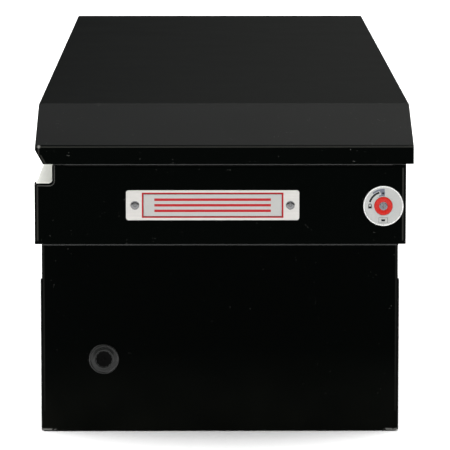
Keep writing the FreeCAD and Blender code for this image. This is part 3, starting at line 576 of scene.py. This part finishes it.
# Painted shade: the plug's sunk middle gets a darker, duller rubber than its rim.
plug_recess_shade = rubber("plug_recess_shade", (0.0012, 0.0012, 0.0012), (0.003, 0.003, 0.003), 0.8, 500, 0.1)
set_gloss(plug_recess_shade, 0.05)
red_plastic = rubber("red_plastic", (0.36, 0.010, 0.007), (0.46, 0.017, 0.011), 0.3, 300, 0.05)
set_gloss(red_plastic, 0.2)
black_ink = rubber("black_ink", (0.003, 0.0035, 0.005), (0.010, 0.011, 0.013), 0.6, 900, 0.05)
set_gloss(black_ink, 0.12)
blue_ink = rubber("blue_ink", (0.075, 0.08, 0.11), (0.13, 0.14, 0.18), 0.55, 900, 0.05)
red_ink = rubber("red_ink", (0.32, 0.011, 0.016), (0.38, 0.016, 0.022), 0.5, 600, 0.05)
set_gloss(red_ink, 0.15)
stay_paint = rubber("stay_paint", (0.008, 0.008, 0.009), (0.02, 0.02, 0.021), 0.35, 120, 0.05)
print("rubbers and inks:", foam_rubber.name, plug_rubber.name, red_plastic.name, red_ink.name)

# %% [markdown]
# The pieces that the frame already holds keep their shape and only get a finish. The list below
# pairs each finish with the beginning of the names of its pieces.

# %% Finishes on the frame's own pieces
FINISHES = [
    (coat_lid, ("lid_skin",)),
    (coat_saddle, ("saddle_end",)),
    (coat_tub, ("tub_end",)),
    (coat_walls, ("front_", "rear_")),
    (coat_inside, ("lid_", "floor_pan", "saddle_shelf", "rod_guides", "tray_rail")),
    (coat_tray, ("parts_tray", "tray_dividers")),
    (strip_metal, ("hinge_body_leaf", "hinge_lid_leaf")),
    (zinc, ("hinge_pin", "release_rod", "lock_barrel", "lock_nuts", "latch_", "hook_pins", "striker",
            "stay_base", "stay_lid")),
    (spring_steel, ("hook_springs",)),
    (foam_rubber, ("rim_seal",)),
    (pad_rubber, ("rail_pads",)),
    (plug_rubber, ("cable_plug",)),
    (plate_metal, ("name_plate",)),
    (rivet_metal, ("plate_rivets",)),
    (dial_metal, ("lock_dial",)),
    (red_plastic, ("push_button",)),
    (key_metal, ("key_cylinder",)),
    (stay_paint, ("gas_spring_tube",)),
    (rod_chrome, ("gas_spring_rod",)),
]

for name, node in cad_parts.items():
    for material, beginnings in FINISHES:
        if name.startswith(beginnings):
            node.data.materials.clear()
            node.data.materials.append(material)
            break
    else:
        print("no finish for", name)

# %% [markdown]
# The floor is one large pale sheet that carries on behind the box, so the picture has no horizon.
# Where the panels no longer reach it, a faint glow of its own keeps it as pale as nearby.
# The light is soft: a wide panel above gives the lid's slope its sheen, a weaker one stands at the
# hinge side, and the dim room round them lets the upright faces stay black.

# %% Floor and light
FLOOR_SIZE = 60
FAR_FLOOR = (9.0, 15.0)
ROOM_LIGHT = 0.06

floor_paint = new_material("floor_paint", (0.96, 0.96, 0.96), 0.9)
feed(floor_paint, "Base Color",
     colour_between(floor_paint, grain(floor_paint, 1.5), (0.95, 0.95, 0.95), (0.97, 0.97, 0.97)))
set_gloss(floor_paint, 0.0)
far_off = add_node(floor_paint, "ShaderNodeVectorMath", operation="LENGTH")
wire(floor_paint, place_of(floor_paint), far_off.inputs[0])
socket_of(floor_paint, "Emission Color").default_value = (1, 1, 1, 1)
feed(floor_paint, "Emission Strength",
     between(floor_paint, far_off.outputs["Value"], 0.0, 1.0, *FAR_FLOOR))
nothing_selected()
bpy.ops.mesh.primitive_plane_add(size=FLOOR_SIZE, location=(0, 0, 0))
floor = bpy.context.object
floor.name = "studio_floor"
floor.data.materials.append(floor_paint)


def soft_light(name, place, target, width, height, power):
    """Glowing panel that faces a target."""
    light_data = bpy.data.lights.new(name, "AREA")
    light_data.shape = "RECTANGLE"
    light_data.size = width
    light_data.size_y = height
    light_data.energy = power
    light = bpy.data.objects.new(name, light_data)
    light.location = place
    way = Vector(target) - Vector(place)
    light.rotation_euler = way.to_track_quat("-Z", "Y").to_euler()
    bpy.context.scene.collection.objects.link(light)


soft_light("panel_above", (1.0, 0, 7), (1.0, 0, 0), 20, 24, 4250)
soft_light("panel_hinge_side", (-0.5, 5, 1.2), (-0.5, 0, 0.4), 5, 2, 80)

world = bpy.data.worlds.new("studio_room")
world.use_nodes = True
background = world.node_tree.nodes["Background"]
background.inputs["Color"].default_value = (1, 1, 1, 1)
background.inputs["Strength"].default_value = ROOM_LIGHT
bpy.context.scene.world = world
bpy.context.scene.view_settings.view_transform = "Standard"
print("lights and floor are set")

# %% [markdown]
# Each end of the tub has a round moulded plug over the cable hole. It has a rolled rim, a shallow
# groove, and a sunk middle whose edge is scalloped like a crown cap. The rings come from insets,
# and the scallops from pulling every other group of points of one ring towards the centre. The
# sunk middle has a darker, duller rubber than the rim: painted shade in the recess.

# %% Cable plugs
PLUG_RADIUS = 0.0215
PLUG_BASE = 0.0012
SCALLOPS = 12
PLUG_MIDDLE = 0.0113
PLUG_THICKNESS = 0.003
DIP = 0.92


def plug_model():
    """Rim and ring of the plug, down to the edge of its sunk middle."""
    rim = [(0.0003, 0.0008), (0.0007, 0.0005), (0.0008, 0.0001), (0.0007, -0.0005), (0.0006, -0.0004)]
    ring = [(0.0030, 0.0001), (0.0008, 0.0005), (0.0012, 0.0003), (0.0012, -0.0002), (0.0006, -0.0008)]
    return turned("plug_ring", PLUG_RADIUS, PLUG_BASE, rim + ring, sides=96)


def plug_middle():
    """Scalloped disc on the floor of the plug's middle, with a small nub from the mould."""
    per_scallop = 4
    disc = turned("plug_disc", PLUG_MIDDLE, 0.0003, [(0.0012, 0.0), (0.0005, -0.0002)],
                  sides=per_scallop * SCALLOPS)

    def in_dip(point):
        turn = (math.atan2(point.y, point.x) / (2 * math.pi) * SCALLOPS) % 1
        return math.hypot(point.x, point.y) > PLUG_MIDDLE - 0.0002 and abs(turn - 0.5) < 0.2

    edit(disc)
    pick_points(in_dip)
    bpy.ops.transform.resize(value=(DIP, DIP, 1), center_override=(0, 0, 0))
    bpy.ops.object.mode_set(mode="OBJECT")
    nub = turned("nub", 0.0022, 0.0004, [(0.0003, 0.0003), (0.0009, 0.0002)], sides=24)
    middle = joined([disc, nub], "plug_middle")
    middle.data.transform(Matrix.Translation((0, 0, PLUG_BASE + 0.0004)))
    smooth(middle)
    return middle


_, PLUG_Y, PLUG_Z = centre_of("cable_plug_left")
PLUG_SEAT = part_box("cable_plug_left")[0][0] + PLUG_THICKNESS
TO_PLUG = Matrix.Translation((PLUG_SEAT, PLUG_Y, PLUG_Z)) @ UP_TO_LEFT
for model, name, material in ((plug_model(), "plug_cap", plug_rubber),
                              (plug_middle(), "plug_middle", plug_recess_shade)):
    seat(model, TO_PLUG)
    left, right = both_ends_of(model, name, TO_RIGHT, "box", material)
    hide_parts("cable_plug_left")
    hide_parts("cable_plug_right")

# %% [markdown]
# At the hinge side each end panel has a step cut in its corner, and the cut edge is rolled. The
# roll is a small circle pushed along the step: extruded down, spun round the corner, and extruded
# out to the side. Half of it is sunk in the panel, so only a low ridge shows. Its coat is paler
# than the panel's: a painted highlight along the ridge.

# %% Rolled edge of the step
STEP_IN = 0.2328
STEP_FLOOR = 0.3735
STEP_TOP = 0.3980
STEP_OUT = 0.2535
ROLL_SET = 0.0030
ROLL_RADIUS = 0.0008
CORNER_RADIUS = 0.0065
PANEL_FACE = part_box("saddle_end_left")[0][0]

nothing_selected()
bpy.ops.mesh.primitive_circle_add(vertices=12, radius=ROLL_RADIUS, fill_type="NGON",
                                  location=(PANEL_FACE, STEP_IN - ROLL_SET, STEP_TOP))
roll_left = bpy.context.object
roll_left.name = "step_roll_left"
bpy.ops.object.transform_apply()
bpy.ops.object.mode_set(mode="EDIT")
bpy.ops.mesh.select_all(action="SELECT")
corner_z = STEP_FLOOR - ROLL_SET + CORNER_RADIUS
corner_y = STEP_IN - ROLL_SET + CORNER_RADIUS
bpy.ops.mesh.extrude_region_move(TRANSFORM_OT_translate={"value": (0, 0, corner_z - STEP_TOP)})
bpy.ops.mesh.spin(steps=8, angle=-math.pi / 2, center=(PANEL_FACE, corner_y, corner_z), axis=(1, 0, 0))
bpy.ops.mesh.extrude_region_move(TRANSFORM_OT_translate={"value": (0, STEP_OUT - corner_y, 0)})
bpy.ops.mesh.select_all(action="SELECT")
bpy.ops.mesh.remove_doubles(threshold=0.00001)
bpy.ops.mesh.normals_make_consistent(inside=False)
bpy.ops.object.mode_set(mode="OBJECT")
smooth(roll_left)
both_ends_of(roll_left, "step_roll", TO_RIGHT, "box", coat_roll_highlight)

# %% [markdown]
# The lock is the brightest spot of the end. Its pieces share one axis, so they are modelled
# standing on the origin and one matrix carries them all to the left end. The right lock is the
# same lock turned half round, not mirrored, because a key turns the same way in both.

# %% Where the lock sits
_, LOCK_Y, LOCK_Z = centre_of("lock_dial_left")
DIAL_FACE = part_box("lock_dial_left")[0][0]
BUTTON_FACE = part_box("push_button_left")[0][0]
TO_DIAL = Matrix.Translation((DIAL_FACE, LOCK_Y, LOCK_Z)) @ UP_TO_LEFT
TO_BUTTON = Matrix.Translation((BUTTON_FACE, LOCK_Y, LOCK_Z)) @ UP_TO_LEFT
HALF_TURN = (Matrix.Translation((0, LOCK_Y, 0)) @ Matrix.Rotation(math.pi, 4, "Z")
             @ Matrix.Translation((0, -LOCK_Y, 0)))
print("lock axis y, z:", round(LOCK_Y, 4), round(LOCK_Z, 4), "dial face x:", round(DIAL_FACE, 5))

# %% [markdown]
# The button is a ring with a rounded front and a slightly dished face. It starts as a turned
# piece. Its middle is then opened: the inner face at the top and one at the bottom are deleted,
# and the two open edges are bridged to make the bore that the key plug turns in.

# %% Push buttons
BUTTON_RADIUS = 0.0125
BUTTON_BORE = 0.0057
BUTTON_LENGTH = 0.015


def bored(piece, radius, bore):
    """Opens a turned piece from its top, whose middle face has the bore's radius, to its bottom."""
    edit(piece)
    pick_faces(lambda centre, normal: normal.z < -0.9 and centre.z < 0.0001)
    bpy.ops.mesh.inset(thickness=radius - bore, depth=0)
    pick_faces(lambda centre, normal: abs(normal.z) > 0.9 and centre.xy.length < bore / 4)
    bpy.ops.mesh.delete(type="ONLY_FACE")
    pick_points(lambda point: point.xy.length < bore * 1.02)
    bpy.ops.mesh.bridge_edge_loops()
    bpy.ops.mesh.select_all(action="SELECT")
    bpy.ops.mesh.normals_make_consistent(inside=False)
    bpy.ops.object.mode_set(mode="OBJECT")
    smooth(piece)
    return piece


button_left = turned("button_cap_left", BUTTON_RADIUS, BUTTON_LENGTH - 0.0008, [
    (0.0002, 0.0005), (0.0006, 0.0003), (0.0022, 0.0),
    (0.0018, -0.0004), (0.0015, -0.0001), (0.0005, 0.0),
], sides=64)
button_left = bored(button_left, BUTTON_RADIUS, BUTTON_BORE)
button_left.data.transform(Matrix.Translation((0, 0, -BUTTON_LENGTH)))
seat(button_left, TO_BUTTON)
left, right = both_ends_of(button_left, "button_cap", HALF_TURN, "button_", red_plastic)
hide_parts("push_button_left")
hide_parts("push_button_right")

# %% [markdown]
# The key plug is plated, with a rounded front edge and a narrow keyway. A keyway is a pocket, so
# it is cut with two small blocks by boolean modifiers, which are applied at once. Behind the panel
# the plug carries a short arm with a finger that meets the latch when the key has been turned.

# %% Key plugs
KEY_RADIUS = 0.0056
KEY_FRONT = 0.0001
KEYWAY_DEPTH = 0.006
TAIL_FRONT = 0.02375
TAIL_ARM = 0.008
TAIL_THICKNESS = 0.0015
TAIL_WIDTH = 0.005
FINGER_LENGTH = 0.0039


def block(name, centre, size, edge):
    """Block with bevelled edges."""
    nothing_selected()
    bpy.ops.mesh.primitive_cube_add(size=1, location=centre)
    piece = bpy.context.object
    piece.name = name
    piece.scale = size
    bpy.ops.object.transform_apply()
    if edge:
        modifier = piece.modifiers.new("edge", "BEVEL")
        modifier.width = edge
        modifier.segments = 2
        bpy.ops.object.modifier_apply(modifier="edge")
    piece.select_set(False)
    return piece


def cut(piece, cutter):
    """Takes the cutter's form out of a piece and removes the cutter."""
    nothing_selected()
    bpy.context.view_layer.objects.active = piece
    modifier = piece.modifiers.new("cut", "BOOLEAN")
    modifier.object = cutter
    modifier.operation = "DIFFERENCE"
    bpy.ops.object.modifier_apply(modifier="cut")
    bpy.data.objects.remove(cutter)


key_left = turned("key_plug_left", KEY_RADIUS, TAIL_FRONT - KEY_FRONT - 0.0004, [
    (0.0003, 0.0003), (0.0004, 0.0001), (0.0008, 0.0), (0.0002, -0.0002),
], sides=48)
key_left.data.transform(Matrix.Translation((0, 0, -TAIL_FRONT)))
cut(key_left, block("keyway", (0, 0, 0), (0.0062, 0.0012, KEYWAY_DEPTH), 0))
cut(key_left, block("keyway_side", (-0.0012, 0.0006, 0), (0.0016, 0.0016, KEYWAY_DEPTH), 0))
tail = block("tail", (0, TAIL_ARM / 2, -TAIL_FRONT - TAIL_THICKNESS / 2),
             (TAIL_WIDTH, TAIL_ARM, TAIL_THICKNESS), 0.0002)
finger = turned("finger", TAIL_WIDTH / 2, FINGER_LENGTH - 0.0002,
                [(0.0003, 0.0002), (0.0008, 0.0)], sides=24)
finger.data.transform(Matrix.Translation((0, TAIL_ARM, -TAIL_FRONT)) @ Matrix.Rotation(math.pi, 4, "X"))
key_left = joined([key_left, tail, finger], "key_plug_left")
seat(key_left, TO_BUTTON)
left, right = both_ends_of(key_left, "key_plug", HALF_TURN, "key_", key_metal)
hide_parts("key_cylinder_left")
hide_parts("key_cylinder_right")

# %% [markdown]
# The dial's marks are printed, so they are thin flat pieces that lie on its face. A curved band
# is a short edge spun round the dial's middle. The marks show which way the key turns, from the
# closed padlock to the dot, and a small frame with a plain bar stands below the button. A raised
# rim runs round the dial, and a pale blue shade lies behind the dot.

# %% Marks on the dial
INK = 0.00006
RIM_RADIUS = 0.0263
RIM_WIRE = 0.0006


def band(name, inner, outer, start, end):
    """Flat arc round the origin, between two radii and two angles in degrees from straight up."""
    nothing_selected()
    bpy.ops.mesh.primitive_plane_add(size=1)
    piece = bpy.context.object
    piece.name = name
    bpy.ops.object.mode_set(mode="EDIT")
    pick_points(lambda point: point.x < 0)
    bpy.ops.mesh.delete(type="VERT")
    bpy.ops.mesh.select_all(action="SELECT")
    bpy.ops.object.mode_set(mode="OBJECT")
    way = Vector((math.cos(math.radians(start)), math.sin(math.radians(start)), 0))
    piece.data.vertices[0].co = way * inner
    piece.data.vertices[1].co = way * outer
    bpy.ops.object.mode_set(mode="EDIT")
    bpy.ops.mesh.spin(steps=max(3, int((end - start) / 4)), angle=math.radians(start - end),
                      center=(0, 0, 0), axis=UP)
    bpy.ops.object.mode_set(mode="OBJECT")
    return thickened(piece)


def thickened(piece):
    """Gives a flat piece the thickness of a layer of ink, with its faces outwards."""
    edit(piece)
    bpy.ops.mesh.select_all(action="SELECT")
    bpy.ops.mesh.extrude_region_move(TRANSFORM_OT_translate={"value": (0, 0, INK)})
    bpy.ops.mesh.select_all(action="SELECT")
    bpy.ops.mesh.normals_make_consistent(inside=False)
    bpy.ops.object.mode_set(mode="OBJECT")
    piece.select_set(False)
    return piece


def rectangle(name, centre, size):
    """Flat face whose centre and size are up and across."""
    nothing_selected()
    bpy.ops.mesh.primitive_plane_add(size=1, location=(*centre, 0))
    piece = bpy.context.object
    piece.name = name
    piece.scale = (*size, 1)
    bpy.ops.object.transform_apply()
    return piece


def plate_of_ink(name, centre, size):
    """Rectangle filled with ink."""
    return thickened(rectangle(name, centre, size))


def frame_of_ink(name, centre, size, width):
    """Rectangular line of ink round an open middle."""
    piece = rectangle(name, centre, size)
    bpy.ops.object.mode_set(mode="EDIT")
    bpy.ops.mesh.select_all(action="SELECT")
    bpy.ops.mesh.inset(thickness=width, depth=0)
    bpy.ops.mesh.delete(type="FACE")
    bpy.ops.object.mode_set(mode="OBJECT")
    return thickened(piece)


def both_dials(pieces, name, material):
    """Joins pieces, lays them on the left dial and copies them to the right one."""
    left = joined(pieces, name + "_left")
    seat(left, TO_DIAL)
    both_ends_of(left, name, HALF_TURN, "box", material)


shackle = band("shackle", 0.0012, 0.0022, -90, 90)
shackle.data.transform(Matrix.Translation((0.0013, 0.0182, 0)))
turn_arc = band("turn_arc", 0.0180, 0.0205, 17, 74)
dot = turned("dot", 0.0015, 2 * INK, [(0.0002, 0.0)], sides=20)
dot.data.transform(Matrix.Translation((0.0174, 0.0005, 0)))
both_dials([
    turn_arc,
    dot,
    plate_of_ink("lock_body", (-0.0019, 0.0182), (0.0026, 0.0046)),
    plate_of_ink("shackle_leg", (0.0004, 0.0199), (0.0020, 0.0010)),
    plate_of_ink("shackle_foot", (0.0004, 0.0165), (0.0020, 0.0010)),
    shackle,
    frame_of_ink("code_frame", (-0.0195, 0.0002), (0.0074, 0.0122), 0.0004),
    plate_of_ink("code_bar", (-0.0195, 0.0002), (0.0028, 0.0052)),
], "dial_marks", black_ink)

nothing_selected()
bpy.ops.mesh.primitive_torus_add(major_segments=72, minor_segments=8,
                                 major_radius=RIM_RADIUS, minor_radius=RIM_WIRE)
rim = bpy.context.object
edit(rim)
bpy.ops.mesh.select_all(action="SELECT")
bpy.ops.transform.resize(value=(1, 1, 0.6), center_override=(0, 0, 0))
bpy.ops.object.mode_set(mode="OBJECT")
smooth(rim, 60)
both_dials([rim], "dial_rim", rim_metal)
both_dials([
    band("shade_outer", 0.0211, 0.0236, -4, 40),
    band("shade_top", 0.0189, 0.0211, -5, 14),
    band("shade_middle", 0.0155, 0.0189, -7, 12),
    band("shade_inner", 0.0136, 0.0155, -7, 24),
], "dial_shade", blue_ink)

# %% [markdown]
# The bright plate is fixed by two blind rivets. Such a rivet has a low dome with a small hole in
# the middle, where the pulling stem broke off. The plate itself is left without words: it only
# has a straight printed border and three plain bars.

# %% Plate: rivets and print
RIVET_RADIUS = 0.006
RIVET_REACH = 0.1054
BAR_SPACING = 0.0076
_, PLATE_Y, PLATE_Z = centre_of("name_plate_left")
PLATE_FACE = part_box("name_plate_left")[0][0]
TO_PLATE = Matrix.Translation((PLATE_FACE, PLATE_Y, PLATE_Z)) @ UP_TO_LEFT

blind_rivets = []
for side in (-1, 1):
    rivet = turned("blind_rivet", RIVET_RADIUS, 0.0003, [
        (0.0002, 0.0004), (0.0006, 0.0005), (0.0010, 0.0004), (0.0012, 0.0002), (0.0010, 0.0),
        (0.0002, -0.0005), (0.0004, 0.0), (0.0001, 0.0004),
    ], sides=36)
    rivet.data.transform(Matrix.Translation((0, side * RIVET_REACH, 0)))
    blind_rivets.append(rivet)
rivets_left = joined(blind_rivets, "blind_rivets_left")
seat(rivets_left, TO_PLATE)
both_ends_of(rivets_left, "blind_rivets", TO_RIGHT, "box", rivet_metal)
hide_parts("plate_rivets")

field_left = plate_of_ink("plate_field_left", (0, 0), (0.0310, 0.188))
seat(field_left, TO_PLATE)
both_ends_of(field_left, "plate_field", TO_RIGHT, "box", plate_satin)

bars = [plate_of_ink("bar", (up, 0), (0.0034, 0.158)) for up in (-BAR_SPACING, 0, BAR_SPACING)]
for bar in bars:
    bar.data.transform(Matrix.Translation((0, 0, INK)))
border = frame_of_ink("border", (0, 0), (0.0345, 0.192), 0.0025)
print_left = joined([border] + bars, "plate_print_left")
seat(print_left, TO_PLATE)
both_ends_of(print_left, "plate_print", TO_RIGHT, "box", red_ink)

# %% [markdown]
# Each latch hook is turned back by a coil on its pin. The frame holds a plain sleeve in its
# place. A screw modifier draws a small wire circle round an axis while it climbs, which is just
# what a coiling machine does, and a straight leg reaches the bracket.

# %% Hook springs
WIRE = 0.0008
COIL_RADIUS = 0.0050
COIL_TURNS = 3
COIL_RISE = 0.0034
COIL_STEPS = 28
LEG_LENGTH = 0.027
PIN_TO_BRACKET = 0.006


def hook_spring(name, place, leg_length):
    """Coil that climbs along +Y from its place, with a leg towards the end of the box."""
    nothing_selected()
    bpy.ops.mesh.primitive_circle_add(vertices=10, radius=WIRE, location=(COIL_RADIUS, 0, 0),
                                      rotation=(math.pi / 2, 0, 0))
    coil = bpy.context.object
    coil.name = name
    bpy.ops.object.transform_apply()
    screw = coil.modifiers.new("coil", "SCREW")
    screw.angle = 2 * math.pi * COIL_TURNS
    screw.screw_offset = COIL_RISE
    screw.steps = COIL_STEPS * COIL_TURNS
    screw.render_steps = COIL_STEPS * COIL_TURNS
    bpy.ops.object.modifier_apply(modifier="coil")
    bpy.ops.object.mode_set(mode="EDIT")
    bpy.ops.mesh.select_all(action="SELECT")
    bpy.ops.mesh.remove_doubles(threshold=0.00001)
    bpy.ops.mesh.fill_holes(sides=12)
    bpy.ops.mesh.normals_make_consistent(inside=False)
    bpy.ops.object.mode_set(mode="OBJECT")
    nothing_selected()
    bpy.ops.mesh.primitive_cylinder_add(vertices=10, radius=WIRE, depth=leg_length,
                                        location=(COIL_RADIUS, leg_length / 2, COIL_RISE),
                                        rotation=(math.pi / 2, 0, 0))
    leg = bpy.context.object
    bpy.ops.object.transform_apply()
    spring = joined([coil, leg], name)
    smooth(spring, 60)
    lying = Matrix.Rotation(-math.pi / 2, 4, "X") @ Matrix.Rotation(math.pi / 2, 4, "Z")
    spring.data.transform(Matrix.Translation(place) @ lying)
    return spring


low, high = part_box("hook_springs")
spring_place = (low[0] + PIN_TO_BRACKET, low[1] + WIRE, (low[2] + high[2]) / 2)
spring_left = hook_spring("hook_spring_left", spring_place, LEG_LENGTH)
both_ends_of(spring_left, "hook_spring", TO_RIGHT, "box", spring_steel)
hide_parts("hook_springs")

# %% [markdown]
# The brackets inside are held by nuts on welded studs, so nothing shows on the outside of the end
# panels. One nut is modelled with its washer and the stud's threaded tip, then copied to each
# place. A six-sided cylinder whose top is inset and lifted a little has the nut's worn corners.

# %% Nuts
def hex_nut():
    """Nut with its washer and the tip of its stud, standing on the origin."""
    washer = turned("washer", 0.0062, 0.0008, [(0.0003, 0.0003), (0.0010, 0.0)], sides=24)
    nut = turned("nut", 0.0052, 0.0042, [(0.0005, 0.0004), (0.0012, 0.0), (0.0003, -0.0003)], sides=6)
    nut.data.transform(Matrix.Translation((0, 0, 0.0010)))
    stud = turned("stud", 0.0029, 0.0058, [
        (0.0003, 0.0003), (-0.0003, 0.0003), (0.0003, 0.0003), (-0.0003, 0.0003), (0.0006, 0.0005),
    ], sides=16)
    return joined([washer, nut, stud], "nut_model")


def set_out(model, name, places, turn):
    """Copies of a model at several places, joined to one piece. turn points its foot at the wall."""
    copies = [copy_of(model, "one", Matrix.Translation(place) @ turn) for place in places]
    return joined(copies, name)


def set_out_at_ends(model, name, places, body):
    """The same on the inside of the left end's brackets and of the right end's."""
    left = set_out(model, name + "_left", places, FACING_IN)
    both_ends_of(left, name, TO_RIGHT, body, zinc)


FACING_IN = Matrix.Rotation(math.radians(90), 4, "Y")
END_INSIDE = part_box("stay_base_bracket_left")[0][0]
BRACKET_PLATE = 0.003

nut = hex_nut()
nut_seat = END_INSIDE + BRACKET_PLATE
low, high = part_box("stay_base_bracket_left")
rows = [(nut_seat, y, z) for y in (low[1] + 0.008, high[1] - 0.008)
        for z in (low[2] + 0.009, high[2] - 0.008)]
set_out_at_ends(nut, "stay_nuts", rows, "box")
low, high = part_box("latch_bracket_left")
rows = [(nut_seat, y, (low[2] + high[2]) / 2) for y in (low[1] + 0.0065, high[1] - 0.0065)]
set_out_at_ends(nut, "latch_nuts", rows, "box")
bpy.data.objects.remove(nut)

# %% [markdown]
# The rails, the strikers and the gas springs' upper plates are held by round-headed screws. The
# head is a turned dome. Its cross is cut with two crossed blocks, like the keyway.

# %% Screws
CROSS_LENGTH = 0.0040
CROSS_WIDTH = 0.0008


def cross_screw():
    """Round head with a cross, standing on the origin."""
    head = turned("screw_model", 0.0042, 0.0004, [
        (0.0003, 0.0006), (0.0008, 0.0007), (0.0011, 0.0004), (0.0009, 0.0001),
    ], sides=24)
    for length, width in ((CROSS_LENGTH, CROSS_WIDTH), (CROSS_WIDTH, CROSS_LENGTH)):
        cut(head, block("cross", (0, 0, 0.0022), (length, width, 0.0020), 0))
    smooth(head)
    return head


screw = cross_screw()
low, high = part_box("striker_left")
rows = [(low[0] + BRACKET_PLATE, y, high[2] - 0.0062) for y in (low[1] + 0.0055, high[1] - 0.0055)]
set_out_at_ends(screw, "striker_screws", rows, "lid")
low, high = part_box("stay_lid_bracket_left")
rows = [(low[0] + BRACKET_PLATE, y, (low[2] + high[2]) / 2)
        for y in (low[1] + 0.006, high[1] - 0.006)]
set_out_at_ends(screw, "stay_screws", rows, "lid")

RAIL_SHEET = 0.002
RAIL_SCREWS = 8
RAIL_MARGIN = 0.04
for name, wall, turn in (("front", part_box("tray_rail_front")[0][1] + RAIL_SHEET, -90),
                         ("rear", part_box("tray_rail_rear")[1][1] - RAIL_SHEET, 90)):
    low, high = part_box("tray_rail_" + name)
    step = (high[0] - low[0] - 2 * RAIL_MARGIN) / (RAIL_SCREWS - 1)
    rows = [(low[0] + RAIL_MARGIN + number * step, wall, (low[2] + high[2]) / 2)
            for number in range(RAIL_SCREWS)]
    done(set_out(screw, "rail_screws_" + name, rows, Matrix.Rotation(math.radians(turn), 4, "X")),
         "box", zinc)
bpy.data.objects.remove(screw)

# %% [markdown]
# The three eyes that guide the rod are welded to the wall. A weld is a row of small frozen
# ripples. Each ripple is a low dome, and the next one overlaps it.

# %% Weld beads
GUIDE_THICKNESS = 0.003
RIPPLES = 11
RIPPLE_STEP = 0.0020
BEAD_OFF = 0.0008

ripple = turned("ripple", 0.0021, 0.0002, [(0.0003, 0.0005), (0.0006, 0.0005), (0.0006, 0.0002)],
                sides=12)
guide_low, guide_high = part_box("rod_guides")
guide_reach = guide_high[0] - GUIDE_THICKNESS / 2
guide_corners = [corner.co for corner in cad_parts["rod_guides"].data.vertices]
off_wall = Matrix.Rotation(math.radians(-90), 4, "X")
beads = []
for x in (-guide_reach, 0, guide_reach):
    heights = [corner.z for corner in guide_corners if abs(corner.x - x) < GUIDE_THICKNESS]
    middle = (min(heights) + max(heights)) / 2
    for side in (-1, 1):
        for number in range(RIPPLES):
            place = (x + side * (GUIDE_THICKNESS / 2 + BEAD_OFF), guide_low[1] + 0.0001,
                     middle + (number - RIPPLES // 2) * RIPPLE_STEP)
            beads.append(copy_of(ripple, "one", Matrix.Translation(place) @ off_wall))
bpy.data.objects.remove(ripple)
done(joined(beads, "guide_welds"), "box", coat_inside)
